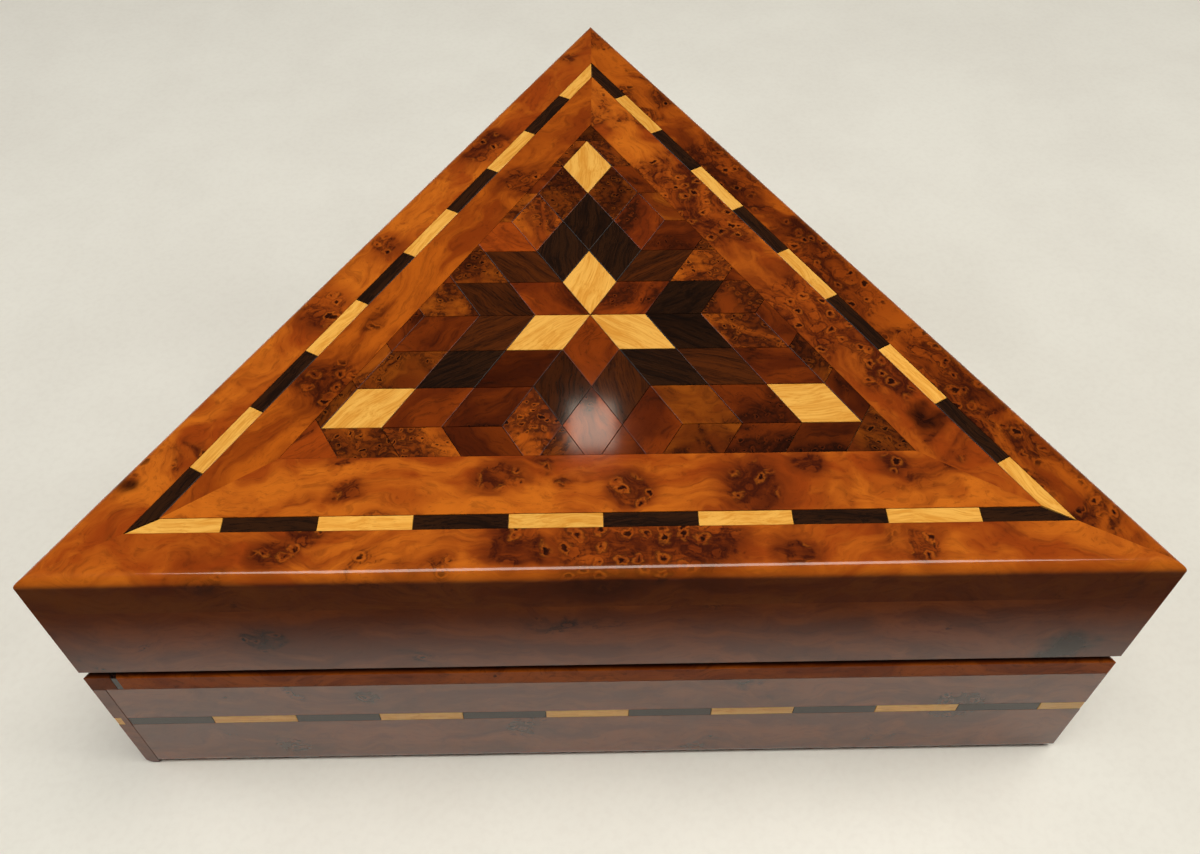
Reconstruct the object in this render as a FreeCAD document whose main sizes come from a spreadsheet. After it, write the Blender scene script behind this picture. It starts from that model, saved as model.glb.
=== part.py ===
"""Triangular puzzle box in thuya wood, with rhombus marquetry on its lid.

Millimetres, +Z up.  The origin is the middle of the underside: the centroid of the triangle.
The front edge runs along X at -Y, and the apex points to +Y.  Every side is drawn as the front
side and turned about Z: 0 degrees is the front, 120 the right (hinge) side, 240 the left side.
"""
import FreeCAD, Part
import math
import os

import Sketcher
from FreeCAD import Placement, Rotation, Vector

ROOT3 = math.sqrt(3.0)
FRONT, RIGHT, LEFT = 0.0, 120.0, 240.0

doc = FreeCAD.newDocument("puzzle_box")
sheet = doc.addObject("Spreadsheet::Sheet", "Sizes")
parts = []


class Size:
    """A length that knows both its number and the sheet expression it comes from."""

    def __init__(self, value, text):
        self.value = value
        self.text = text

    @staticmethod
    def of(other):
        return other if isinstance(other, Size) else Size(float(other), repr(float(other)))

    def combine(self, other, sign, value):
        return Size(value, "(%s %s %s)" % (self.text, sign, other.text))

    def __add__(self, other):
        other = Size.of(other)
        return self.combine(other, "+", self.value + other.value)

    def __sub__(self, other):
        other = Size.of(other)
        return self.combine(other, "-", self.value - other.value)

    def __mul__(self, other):
        other = Size.of(other)
        return self.combine(other, "*", self.value * other.value)

    def __truediv__(self, other):
        other = Size.of(other)
        return self.combine(other, "/", self.value / other.value)

    def __radd__(self, other):
        return Size.of(other) + self

    def __rsub__(self, other):
        return Size.of(other) - self

    def __rmul__(self, other):
        return Size.of(other) * self

    def __neg__(self):
        return Size.of(0.0) - self


def size(alias, value, note):
    """Writes one driving dimension into the sheet and returns it."""
    size.row += 1
    sheet.set("A%d" % size.row, note)
    sheet.set("B%d" % size.row, str(value))
    sheet.setAlias("B%d" % size.row, alias)
    return Size(float(value), "Sizes." + alias)


size.row = 0

# The box as a whole
side = size("side_length", 200.0, "outer side of the triangle")
height = size("box_height", 75.0, "underside to lid top")
split = size("split_height", 42.5, "where the lid meets the base")
wall = size("wall_thickness", 10.0, "side boards of base and lid")
fit = size("slide_fit", 0.15, "running gap of the wooden slides")
seam = size("glue_seam", 0.12, "glue line between slips of marquetry")

# Base
rail_height = size("rail_height", 7.2, "moulding on top of the base walls")
rail_depth = size("rail_depth", 6.0, "depth of the sliding front rail")
rail_bevel = size("rail_bevel", 2.4, "bevel that makes the groove under the lid")
floor_thick = size("floor_thickness", 4.0, "floor board")
foot_round = size("foot_radius", 2.0, "rounding of the lower outer edges")
felt = size("felt_thickness", 1.0, "lining")
felt_gap = size("felt_gap", 0.3, "lining to the boards around it")
panel_thick = size("panel_thickness", 2.2, "sliding facing on the left side")
inlay_high = size("base_inlay_height", 3.1, "height of the inlay line on the base")
inlay_low = size("base_inlay_bottom", 19.4, "underside of the inlay line")
inlay_deep = size("inlay_depth", 1.2, "depth of every inlaid slip")
inlay_pitch = size("base_inlay_pitch", 17.1, "length of one slip on the base")

# Slides
block_width = size("corner_block_width", 5.0, "fixed corner block beside the front rail")
slip_thick = size("end_slip_thickness", 1.1, "dark slip on the left end of the rail")
tail_depth = size("tail_depth", 2.4, "depth of the dovetails")
tail_root = size("tail_root", 2.6, "narrow width of the rail dovetail")
tail_tip = size("tail_tip", 3.8, "wide width of the rail dovetail")
runner_root = size("runner_root", 4.2, "narrow width of the panel runner")
runner_tip = size("runner_tip", 5.6, "wide width of the panel runner")
runner_mid = size("runner_level", 29.5, "height of the runner's centre line")
runner_long = size("runner_length", 70.0, "length of the panel runner")
runner_back = size("runner_end", -78.0, "far end of the runner at rest, along the left side")
panel_travel = size("panel_travel", 60.0, "how far the left panel slides")

# Lid
slab = size("lid_slab_thickness", 10.6, "top frame and core over the lid walls")
frame_wide = size("lid_frame_width", 9.6, "outer band of the lid top")
string_wide = size("lid_inlay_width", 3.2, "inlaid line on the lid top")
veneer = size("veneer_thickness", 1.2, "slips and bands set into the lid top")
edge_round = size("lid_edge_radius", 2.0, "rounding of the lid's upper edge")
rhomb = size("rhombus_side", 11.3, "side of one marquetry rhombus")
star_x = size("star_x", -1.6, "centre of the star, across")
star_y = size("star_y", 4.4, "centre of the star, to the back")
field = size("marquetry_side", 117.4, "side of the triangle that the marquetry is trimmed to")
field_x = size("marquetry_x", -0.6, "centre of that triangle, across")
field_y = size("marquetry_y", 1.8, "centre of that triangle, to the back")

# Hinges
hinge_place = size("hinge_offset", 45.0, "each hinge from the middle of the right side")
leaf_long = size("hinge_leaf_length", 24.0, "hinge leaf along the side")
leaf_thick = size("hinge_leaf_thickness", 1.0, "hinge leaf")
leaf_drop = size("hinge_leaf_drop", 14.5, "leaf height from the pin's axis")
knuckle = size("knuckle_radius", 2.0, "hinge knuckle")
knuckle_gap = size("knuckle_gap", 0.2, "knuckle to wood and knuckle to knuckle")
pin = size("hinge_pin_radius", 0.75, "hinge pin")
running = size("running_clearance", 0.05, "radial gap round pins and shanks")
screw_spread = size("screw_spread", 8.0, "screws from the middle of a leaf")
screw_level = size("screw_level", 9.5, "hinge screws from the pin's axis")
head = size("screw_head_radius", 1.8, "countersunk head")
shank = size("screw_shank_radius", 0.8, "screw shank")
screw_long = size("screw_length", 7.0, "screw under the head")

# Lock and key
lock_place = size("lock_offset", 50.0, "keyhole from the middle of the left side")
lock_level = size("keyhole_level", 19.0, "height of the key's axis")
case_wide = size("lock_case_width", 28.0, "lock case along the wall")
case_deep = size("lock_case_depth", 8.0, "lock case off the wall")
case_low = size("lock_case_bottom", 9.0, "underside of the lock case")
case_wall = size("lock_case_wall", 1.0, "plate of the lock case")
ear = size("lock_ear", 5.5, "screw ear each side of the case")
bolt_wide = size("bolt_width", 9.0, "bolt along the wall")
bolt_deep = size("bolt_depth", 3.6, "bolt off the wall")
bolt_low = size("bolt_bottom", 26.0, "underside of the bolt, unlocked")
bolt_gap = size("bolt_fit", 0.12, "running gap of the bolt")
rim_gap = size("rim_gap", 0.3, "brass below the joint line")
strike_plate = size("strike_thickness", 1.0, "strike plate")
strike_tall = size("strike_height", 13.0, "strike plate on the lid wall")
key_stem = size("key_stem_radius", 1.5, "key stem")
key_bow = size("key_bow_radius", 5.5, "ring of the key")
key_eye = size("key_eye_radius", 3.0, "hole in the ring")
key_thick = size("key_thickness", 2.0, "ring of the key")
key_long = size("key_length", 24.0, "stem beyond the ring")
key_bit = size("key_bit", 5.0, "bit of the key")
pocket_wide = size("key_pocket_width", 4.6, "key pocket in the front wall")
pocket_from = size("key_pocket_start", -80.0, "left end of the key pocket")
rose = size("escutcheon_radius", 6.0, "keyhole plate")
rose_thick = size("escutcheon_thickness", 0.8, "keyhole plate")
hole = size("keyhole_radius", 2.2, "round part of the keyhole")

# Values that follow
outer = side / (2.0 * ROOT3)
inner = outer - wall
core = outer - panel_thick - fit
wall_top = split - rail_height
rail_back = outer - rail_depth
slab_low = height - slab
string_outer = outer - frame_wide
string_inner = string_outer - string_wide
veneer_low = height - veneer
pin_out = outer + knuckle + knuckle_gap
ear_level = lock_level + 5.0
strike_low = split + rim_gap + rim_gap
strike_level = strike_low + strike_tall * 0.65
strike_spots = [lock_place - 9.0, lock_place + 9.0]


def plane_of(body, role):
    return [f for f in body.Origin.OriginFeatures if f.Role == role][0]


def new_body(name):
    body = doc.addObject("PartDesign::Body", name)
    body.Label = name
    return body


def new_sketch(body, role, offset=None):
    """A sketch on one of the body's own planes, lifted along the plane's normal by offset."""
    name = "%s_sketch_%d" % (body.Name, len(body.Group))
    sketch = body.newObject("Sketcher::SketchObject", name)
    sketch.AttachmentSupport = [(plane_of(body, role), "")]
    sketch.MapMode = "FlatFace"
    if offset is not None:
        offset = Size.of(offset)
        sketch.AttachmentOffset = Placement(Vector(0, 0, offset.value), Rotation())
        sketch.setExpression("AttachmentOffset.Base.z", offset.text)
    return sketch


def bind(sketch, kind, geometry, point, value):
    """Ties one coordinate of a sketch point, or a radius, to the sheet."""
    value = Size.of(value)
    if kind == "Radius":
        index = sketch.addConstraint(Sketcher.Constraint(kind, geometry, value.value))
    else:
        index = sketch.addConstraint(Sketcher.Constraint(kind, geometry, point, value.value))
    sketch.setExpression("Constraints[%d]" % index, value.text)


def draw_polygon(sketch, points):
    """Closed polygon whose every corner is tied to the sheet."""
    points = [(Size.of(x), Size.of(y)) for x, y in points]
    corners = [Vector(x.value, y.value, 0) for x, y in points]
    first = sketch.GeometryCount
    for k, corner in enumerate(corners):
        sketch.addGeometry(Part.LineSegment(corner, corners[(k + 1) % len(corners)]), False)
    for k in range(len(corners)):
        following = first + (k + 1) % len(corners)
        sketch.addConstraint(Sketcher.Constraint("Coincident", first + k, 2, following, 1))
    for k, (x, y) in enumerate(points):
        bind(sketch, "DistanceX", first + k, 1, x)
        bind(sketch, "DistanceY", first + k, 1, y)


def draw_circle(sketch, x, y, radius):
    x, y, radius = Size.of(x), Size.of(y), Size.of(radius)
    circle = Part.Circle(Vector(x.value, y.value, 0), Vector(0, 0, 1), radius.value)
    index = sketch.addGeometry(circle, False)
    bind(sketch, "DistanceX", index, 3, x)
    bind(sketch, "DistanceY", index, 3, y)
    bind(sketch, "Radius", index, 0, radius)


def extrude(body, kind, sketch, length, both=False):
    """Pad or Pocket of a sketch; both=True works the same distance to each side in all."""
    length = Size.of(length)
    feature = body.newObject("PartDesign::" + kind, "%s_%s_%d" % (body.Name, kind, len(body.Group)))
    feature.Profile = sketch
    feature.Length = length.value
    feature.setExpression("Length", length.text)
    if both:
        feature.Midplane = True
    sketch.Visibility = False
    body.Tip = feature
    doc.recompute()
    return feature


def prism(name, polygons, low, high, role="XY_Plane"):
    """Body padded from one or more polygons between two levels along the plane's normal."""
    body = new_body(name)
    sketch = new_sketch(body, role, low)
    for points in polygons:
        draw_polygon(sketch, points)
    extrude(body, "Pad", sketch, Size.of(high) - low)
    return body


def cut(body, role, offset, depth, polygons=(), circles=()):
    """Pocket that starts at offset and works against the plane's normal; it must remove wood."""
    before = body.Shape.Volume
    sketch = new_sketch(body, role, offset)
    for points in polygons:
        draw_polygon(sketch, points)
    for x, y, radius in circles:
        draw_circle(sketch, x, y, radius)
    extrude(body, "Pocket", sketch, depth)
    if body.Shape.Volume > before - 1e-6:
        raise RuntimeError("%s: a pocket cut nothing" % body.Name)


def dress(body, kind, wanted, amount):
    """Fillet or Chamfer on the edges that wanted() picks."""
    amount = Size.of(amount)
    base = body.Tip
    names = ["Edge%d" % (k + 1) for k, edge in enumerate(base.Shape.Edges) if wanted(edge)]
    if not names:
        raise RuntimeError("%s: no edge to %s" % (body.Name, kind))
    feature = body.newObject("PartDesign::" + kind, "%s_%s" % (body.Name, kind))
    feature.Base = (base, names)
    field = "Radius" if kind == "Fillet" else "Size"
    setattr(feature, field, amount.value)
    feature.setExpression(field, amount.text)
    body.Tip = feature
    doc.recompute()


def on_line(level, distances):
    """Picks straight edges at one level that lie in an outer plane of the triangle."""
    def wanted(edge):
        ends = [v.Point for v in edge.Vertexes]
        if len(ends) != 2 or any(abs(p.z - level.value) > 1e-4 for p in ends):
            return False
        for turn in distances:
            angle = math.radians(turn - 90.0)
            reach = [p.x * math.cos(angle) + p.y * math.sin(angle) for p in ends]
            if all(abs(r - outer.value) < 1e-4 for r in reach):
                return True
        return False
    return wanted


def finish(item, turn=0.0):
    """Turns a finished piece to its side of the triangle and lists it for export."""
    item.Placement = Placement(Vector(0, 0, 0), Rotation(Vector(0, 0, 1), turn))
    parts.append(item)
    return item


def corner_x(distance):
    """Half length, along a side, of the triangle that has this distance from its centre."""
    return distance * ROOT3


def trapezoid(far, near):
    """Mitred board between two distances from the centre, drawn as the front side."""
    return [(-corner_x(far), -far), (corner_x(far), -far), (corner_x(near), -near),
            (-corner_x(near), -near)]


def triangle(distance):
    return [(-corner_x(distance), -distance), (corner_x(distance), -distance),
            (0.0, distance * 2.0)]


def block(x0, x1, y0, y1):
    return [(x0, y0), (x1, y0), (x1, y1), (x0, y1)]


def across(level, plane, sign):
    """x of a slanting side plane, at this distance from the centre, where y equals level."""
    return (plane + level * -0.5) * (2.0 / ROOT3) * sign


# ---------------------------------------------------------------- base walls
# The front board runs through at the right end, and the left facing laps its left end.
# The left board runs through at the apex.  The right board is butted between the two.
front_outline = [
    (across(-outer, core, -1.0), -outer), (corner_x(outer), -outer),
    (across(-inner, outer, 1.0), -inner), (-corner_x(inner), -inner), (-corner_x(core), -core)]
right_outline = [
    (across(-outer, inner, -1.0), -outer), (across(-outer, inner, 1.0), -outer),
    (corner_x(inner), -inner), (-corner_x(inner), -inner)]
left_outline = [
    (across(-core, outer, -1.0), -core), (corner_x(core), -core),
    (corner_x(inner), -inner), (across(-inner, outer, -1.0), -inner)]


def slip_groove(body, start, end, face):
    """Shallow groove for the inlay line in the outer face of a board."""
    cut(body, "XZ_Plane", face, inlay_deep,
        [block(start, end, inlay_low, inlay_low + inlay_high)])


front_start = across(-outer, core, -1.0)
front_end = corner_x(outer)
right_end = across(-outer, inner, 1.0)


def slips(start, end, first, pitch):
    """Every other slip: its start, its end and whether it is the first or the last of the line."""
    count = math.ceil((end.value - start.value) / pitch.value - 0.05)
    runs = []
    for k in range(first, count, 2):
        x0 = start + pitch * k
        x1 = start + pitch * (k + 1) if k < count - 1 else end
        runs.append((x0, x1, k == 0, k == count - 1))
    return runs


front_wall = prism("base_front_wall", [front_outline], 0.0, wall_top)
dress(front_wall, "Fillet", on_line(Size.of(0.0), [FRONT]), foot_round)
slip_groove(front_wall, front_start, front_end + 1.0, outer)
tail_mid = rail_back + rail_depth / 2.0


def dovetail(mid, level, root, tip, depth, gap):
    """Dovetail outline about mid, hanging down from level and wider at its tip."""
    return [(mid - root / 2.0 - gap, level), (mid - tip / 2.0 - gap, level - depth - gap),
            (mid + tip / 2.0 + gap, level - depth - gap), (mid + root / 2.0 + gap, level)]


def cut_along(body, points, start, length, turn=FRONT):
    """Pocket along a side with an outline across it, drawn as on the front side and turned."""
    before = body.Shape.Volume
    start = Size.of(start)
    sketch = new_sketch(body, "YZ_Plane")
    angle = math.radians(turn)
    aside, ahead = start * math.sin(angle), start * math.cos(angle)
    sketch.AttachmentOffset = Placement(Vector(aside.value, 0, ahead.value),
                                        Rotation(Vector(0, 1, 0), turn))
    sketch.setExpression("AttachmentOffset.Base.x", aside.text)
    sketch.setExpression("AttachmentOffset.Base.z", ahead.text)
    draw_polygon(sketch, points)
    extrude(body, "Pocket", sketch, length)
    if body.Shape.Volume > before - 1e-6:
        raise RuntimeError("%s: a groove cut nothing" % body.Name)


block_edge = -corner_x(outer) + block_width
groove_to = corner_x(outer) + 1.0
tongue_start = -corner_x(rail_back)
cut_along(front_wall, dovetail(-tail_mid, wall_top, tail_root, tail_tip, tail_depth, fit),
          groove_to, groove_to - tongue_start + fit)
pocket_long = key_bow * 2.0 + key_long + 1.0
pocket_low = wall_top - tail_depth - fit - fit - key_bow * 2.0 - fit
cut(front_wall, "XY_Plane", wall_top, wall_top - pocket_low,
    [block(pocket_from, pocket_from + pocket_long, -tail_mid - pocket_wide / 2.0,
           -tail_mid + pocket_wide / 2.0)])
finish(front_wall, FRONT)

right_wall = prism("base_right_wall", [right_outline], 0.0, wall_top)
dress(right_wall, "Fillet", on_line(Size.of(0.0), [FRONT]), foot_round)
slip_groove(right_wall, -corner_x(outer), corner_x(outer), outer)
hinge_spots = [-hinge_place - screw_spread, -hinge_place + screw_spread,
               hinge_place - screw_spread, hinge_place + screw_spread]
cut(right_wall, "XZ_Plane", outer, screw_long + fit, (),
    [(x, split - screw_level, shank + running) for x in hinge_spots])
finish(right_wall, RIGHT)

left_wall = prism("base_left_wall", [left_outline], 0.0, wall_top)
runner_front = runner_back + runner_long
cut_along(left_wall,
          [(-core, runner_mid - runner_root / 2.0 - fit),
           (-core + tail_depth + fit, runner_mid - runner_tip / 2.0 - fit),
           (-core + tail_depth + fit, runner_mid + runner_tip / 2.0 + fit),
           (-core, runner_mid + runner_root / 2.0 + fit)],
          runner_front + fit, corner_x(outer) + runner_front + fit + 1.0)
cut(left_wall, "XZ_Plane", core, rose_thick + fit, (),
    [(lock_place, lock_level, rose + running)])
cut(left_wall, "XZ_Plane", core, wall, (), [(lock_place, lock_level + hole, hole)])
cut(left_wall, "XZ_Plane", core, wall,
    [block(lock_place - hole / 2.0, lock_place + hole / 2.0, lock_level - hole * 1.6,
           lock_level + hole)])
ear_spots = [lock_place - case_wide / 2.0 - ear / 2.0, lock_place + case_wide / 2.0 + ear / 2.0]
cut(left_wall, "XZ_Plane", inner + screw_long, screw_long, (),
    [(x, ear_level, shank + running) for x in ear_spots])
finish(left_wall, LEFT)

# ---------------------------------------------------------------- floor and lining
finish(prism("base_floor", [triangle(inner)], 0.0, floor_thick))
finish(prism("base_lining", [triangle(inner - felt_gap)], floor_thick, floor_thick + felt))

# ---------------------------------------------------------------- mouldings
rail_y = -rail_back


def bevel(body, top, turn):
    """Bevels the upper outer edge of a moulding along one side of the triangle."""
    reach = corner_x(outer) + 1.0
    cut_along(body, [(-outer, top - rail_bevel), (-outer - 1.0, top - rail_bevel - 1.0),
                     (-outer - 1.0, top + 1.0), (-outer + rail_bevel + 1.0, top + 1.0)],
              reach, reach * 2.0, turn)


left_moulding = prism("base_left_moulding", [[
    (-corner_x(outer), -outer), (block_edge, -outer), (block_edge, rail_y),
    (across(rail_y, inner, -1.0), rail_y), (0.0, inner * 2.0), (0.0, outer * 2.0)]],
    wall_top, split)
bevel(left_moulding, split, FRONT)
bevel(left_moulding, split, LEFT)
finish(left_moulding)
right_moulding = prism("base_right_moulding", [[
    (0.0, outer * 2.0), (0.0, inner * 2.0), (across(rail_y, inner, 1.0), rail_y),
    (across(rail_y, outer, 1.0), rail_y)]], wall_top, split)
bevel(right_moulding, split, RIGHT)
finish(right_moulding)
finish(prism("base_front_rim", [[
    (across(rail_y, inner, -1.0), rail_y), (across(rail_y, inner, 1.0), rail_y),
    (corner_x(inner), -inner), (-corner_x(inner), -inner)]], wall_top, split))

# sliding front rail, with its dovetail tongue and its dark end slip
rail_low = wall_top + fit
rail_top = split - fit
rail_start = block_edge + fit + slip_thick
rail = prism("front_rail", [[
    (rail_start, -outer), (corner_x(outer), -outer),
    (across(rail_y - fit, outer, 1.0), rail_y - fit), (rail_start, rail_y - fit)]],
    rail_low, rail_top)
bevel(rail, rail_top, FRONT)
bevel(rail, rail_top, RIGHT)
tongue_sketch = new_sketch(rail, "YZ_Plane", tongue_start)
draw_polygon(tongue_sketch, dovetail(-tail_mid, rail_low, tail_root, tail_tip, tail_depth, 0.0))
tongue_long = across(rail_y, outer, 1.0) - tongue_start - rail_depth
extrude(rail, "Pad", tongue_sketch, tongue_long)
finish(rail)
end_slip = prism("rail_end_slip", [block(block_edge + fit, rail_start, -outer, rail_y - fit)],
                 rail_low, rail_top)
bevel(end_slip, rail_top, FRONT)
finish(end_slip)

# ---------------------------------------------------------------- left sliding panel
panel_back = outer - panel_thick
panel = prism("side_panel", [[
    (-corner_x(outer), -outer), (corner_x(outer), -outer),
    (corner_x(outer) - panel_thick / ROOT3, -panel_back),
    (-corner_x(outer) + panel_thick / ROOT3, -panel_back)]], fit, wall_top - fit)
dress(panel, "Fillet", on_line(fit, [FRONT]), panel_thick * 0.8)
slip_groove(panel, -corner_x(outer) - 1.0, corner_x(outer) + 1.0, outer)
finish(panel, LEFT)
runner = prism("panel_runner", [[
    (-panel_back, runner_mid - runner_root / 2.0),
    (-core + tail_depth, runner_mid - runner_tip / 2.0),
    (-core + tail_depth, runner_mid + runner_tip / 2.0),
    (-panel_back, runner_mid + runner_root / 2.0)]], runner_back, runner_front, "YZ_Plane")
finish(runner, LEFT)


# ---------------------------------------------------------------- inlay line round the base
def base_line(name, runs, turn):
    """Slips of one wood in the groove of one side; the outermost ends follow the board's ends."""
    low = -outer
    high = -outer + inlay_deep
    polygons = []
    for x0, x1, first, last in runs:
        left = x0 + seam / 2.0
        right = x1 - seam / 2.0
        inner_left = left + inlay_deep / ROOT3 if first else left
        inner_right = right - inlay_deep / ROOT3 if last else right
        polygons.append([(left, low), (right, low), (inner_right, high), (inner_left, high)])
    body = prism(name, polygons, inlay_low, inlay_low + inlay_high)
    finish(body, turn)


ends = {
    FRONT: (front_start, front_end), RIGHT: (-right_end, right_end), LEFT: (-front_end, front_end)}
names = {FRONT: "front", RIGHT: "right", LEFT: "left"}
lines = {FRONT: "base_front", RIGHT: "base_right", LEFT: "panel"}
for turn, (start, end) in ends.items():
    for first, wood in ((0, "dark"), (1, "light")):
        base_line("%s_inlay_%s" % (lines[turn], wood),
                  slips(start, end, first, inlay_pitch), turn)

# ---------------------------------------------------------------- lid shell
for turn in (FRONT, RIGHT, LEFT):
    board = prism("lid_%s_wall" % names[turn], [trapezoid(outer, inner)], split, slab_low)
    if turn == RIGHT:
        cut(board, "XZ_Plane", outer, screw_long + fit, (),
            [(x, split + screw_level, shank + running) for x in hinge_spots])
    if turn == LEFT:
        cut(board, "XZ_Plane", inner + screw_long, screw_long, (),
            [(x, strike_level, shank + running) for x in strike_spots])
    finish(board, turn)
for turn in (FRONT, RIGHT, LEFT):
    board = prism("lid_frame_" + names[turn], [trapezoid(outer, string_outer)], slab_low, height)
    dress(board, "Fillet", on_line(height, [FRONT]), edge_round)
    finish(board, turn)
finish(prism("lid_core_board", [triangle(string_outer)], slab_low, veneer_low))
finish(prism("lid_lining", [triangle(inner - felt_gap)], slab_low - felt, slab_low))


# ---------------------------------------------------------------- lid top: inlaid line
def line_slips(first):
    """Every other slip of the lid's inlaid line on one side, ten to a side, mitred at the ends."""
    count = 10
    half = corner_x(string_outer)
    near = corner_x(string_inner)
    pitch = half * 2.0 / count
    mitre_out = seam * (1.0 + ROOT3 / 2.0)
    mitre_in = seam * (1.0 - ROOT3 / 2.0)
    found = []
    for k in range(first, count, 2):
        x0 = -half + pitch * k + seam / 2.0
        x1 = -half + pitch * (k + 1) - seam / 2.0
        y0 = -string_outer + seam / 2.0
        y1 = -string_inner - seam / 2.0
        x2, x3 = x1, x0
        if k == count - 1:
            x1, x2 = half - mitre_out, near - mitre_in
        if k == 0:
            x0, x3 = mitre_out - half, mitre_in - near
        found.append([(x0, y0), (x1, y0), (x2, y1), (x3, y1)])
    return found


for turn in (FRONT, RIGHT, LEFT):
    for first, wood in ((0, "light"), (1, "dark")):
        body = prism("lid_%s_inlay_%s" % (names[turn], wood), line_slips(first),
                     veneer_low, height)
        finish(body, turn)


# ---------------------------------------------------------------- lid top: inner bands
field_in = field / (2.0 * ROOT3)
outer_corners = triangle(string_inner)
inner_corners = [(field_x + x, field_y + y) for x, y in triangle(field_in)]
for k, turn in ((0, FRONT), (1, RIGHT), (2, LEFT)):
    n = (k + 1) % 3
    finish(prism("lid_band_" + names[turn],
                 [[outer_corners[k], outer_corners[n], inner_corners[n], inner_corners[k]]],
                 veneer_low, height))


# ---------------------------------------------------------------- lid top: marquetry
row = rhomb * (ROOT3 / 2.0)


def trimmed(turn):
    """Rows of the lattice between its third row and the trimmed edge on one side."""
    angle = math.radians(turn - 90.0)
    offset = (star_x - field_x) * math.cos(angle) + (star_y - field_y) * math.sin(angle)
    return (field_in - offset) / row - 3.0


# Lattice points are (rhombus sides across, rows back) from the star's centre.  A third number
# marks a point on the trimmed edge: from row -3 it runs on by half a side per row, to that hand.
# One third of the pattern, drawn on the side that faces the front edge
PIECES = {
    "star_tip": [(0, 0), (0.5, -1), (0, -2), (-0.5, -1)],
    "star_arm": [(0, 0), (0.5, 1), (0, 2), (-0.5, 1)],
    "crown": [(0, 2), (0.5, 3), (0, 4), (-0.5, 3)],
    "crown_left": [(-0.5, 1), (0, 2), (-0.5, 3), (-1, 2)],
    "crown_right": [(0.5, 1), (1, 2), (0.5, 3), (0, 2)],
    "corner": [(0, 4), (0.5, 5), (0, 6), (-0.5, 5)],
    "flank_left": [(-0.5, -1), (0, -2), (-0.5, -3), (-1, -2)],
    "flank_right": [(0.5, -1), (1, -2), (0.5, -3), (0, -2)],
    "foot": [(0, -2), (0.5, -3), (0.5, -3, -1), (-0.5, -3, 1), (-0.5, -3)],
    "foot_left": [(-1, -2), (-0.5, -3), (-0.5, -3, -1), (-1.5, -3, 1), (-1.5, -3)],
    "foot_right": [(1, -2), (1.5, -3), (1.5, -3, -1), (0.5, -3, 1), (0.5, -3)],
    "row_left_far": [(-3, -2), (-2, -2), (-2.5, -3), (-3.5, -3)],
    "row_left_near": [(-2, -2), (-1, -2), (-1.5, -3), (-2.5, -3)],
    "row_right_far": [(3, -2), (2, -2), (2.5, -3), (3.5, -3)],
    "row_right_near": [(2, -2), (1, -2), (1.5, -3), (2.5, -3)],
    "edge_left_far": [(-4.5, -3), (-3.5, -3), (-3.5, -3, 1), (-4.5, -3, 1)],
    "edge_left_mid": [(-3.5, -3), (-2.5, -3), (-2.5, -3, 1), (-3.5, -3, 1)],
    "edge_left_near": [(-2.5, -3), (-1.5, -3), (-1.5, -3, 1), (-2.5, -3, 1)],
    "edge_right_far": [(4.5, -3), (3.5, -3), (3.5, -3, -1), (4.5, -3, -1)],
    "edge_right_mid": [(3.5, -3), (2.5, -3), (2.5, -3, -1), (3.5, -3, -1)],
    "edge_right_near": [(2.5, -3), (1.5, -3), (1.5, -3, -1), (2.5, -3, -1)],
    "fill_left": [(-0.5, -3), (-0.5, -3, 1), (-0.5, -3, -1)],
    "fill_right": [(0.5, -3), (0.5, -3, 1), (0.5, -3, -1)],
}

# The wood of each piece as drawn, then turned by 120 and by 240 degrees about the star.
# L lemonwood, E ebony, W walnut, R red thuya, B thuya burl
WOODS = {
    "star_tip": "RRR", "star_arm": "LLL", "crown": "EEW", "crown_left": "ERE",
    "crown_right": "EWE", "corner": "LLL", "flank_left": "WEW", "flank_right": "WWW",
    "foot": "RBB", "foot_left": "BBR", "foot_right": "RRB", "row_left_far": "RRB",
    "row_left_near": "RBB", "row_right_far": "RBB", "row_right_near": "BRR",
    "edge_left_far": "BRB", "edge_left_mid": "BBR", "edge_left_near": "RRB",
    "edge_right_far": "RBB", "edge_right_mid": "RRB", "edge_right_near": "BBR",
    "fill_left": "BRB", "fill_right": "RBR", "point": "RBB",
}
WOOD_NAMES = {"L": "lemonwood", "E": "ebony", "W": "walnut", "R": "red_thuya", "B": "burl"}
drops = [trimmed(turn) for turn in (FRONT, RIGHT, LEFT)]


def lattice(point, drop):
    """Distances of a lattice point from the star, across and back, before any turn."""
    i, j = float(point[0]), float(point[1])
    if len(point) == 2:
        return rhomb * i, row * j
    return rhomb * (drop * (0.5 * point[2]) + i), row * (j - drop)


def corner_slip(steps):
    """The small slip in the left corner of one side, out to the trimmed triangle's corner."""
    near, left = drops[steps], drops[(steps + 2) % 3]
    tip = (rhomb * (near * -0.5 - left - 4.5), row * (-3.0 - near))
    return [lattice((-4.5, -3), near), lattice((-4.5, -3, 1), near), tip,
            (rhomb * (left * -0.5 - 4.5), row * (left - 3.0))]


def seated(points, steps):
    """Turns a slip to its side of the star and draws it in by half a glue seam all round."""
    angle = math.radians(120.0 * steps)
    middle_x = sum((p[0] for p in points), Size.of(0.0)) / len(points)
    middle_y = sum((p[1] for p in points), Size.of(0.0)) / len(points)
    keep = 1.0 - seam / row
    result = []
    for x, y in points:
        x = middle_x + (x - middle_x) * keep
        y = middle_y + (y - middle_y) * keep
        result.append((star_x + x * math.cos(angle) - y * math.sin(angle),
                       star_y + x * math.sin(angle) + y * math.cos(angle)))
    return result


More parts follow.
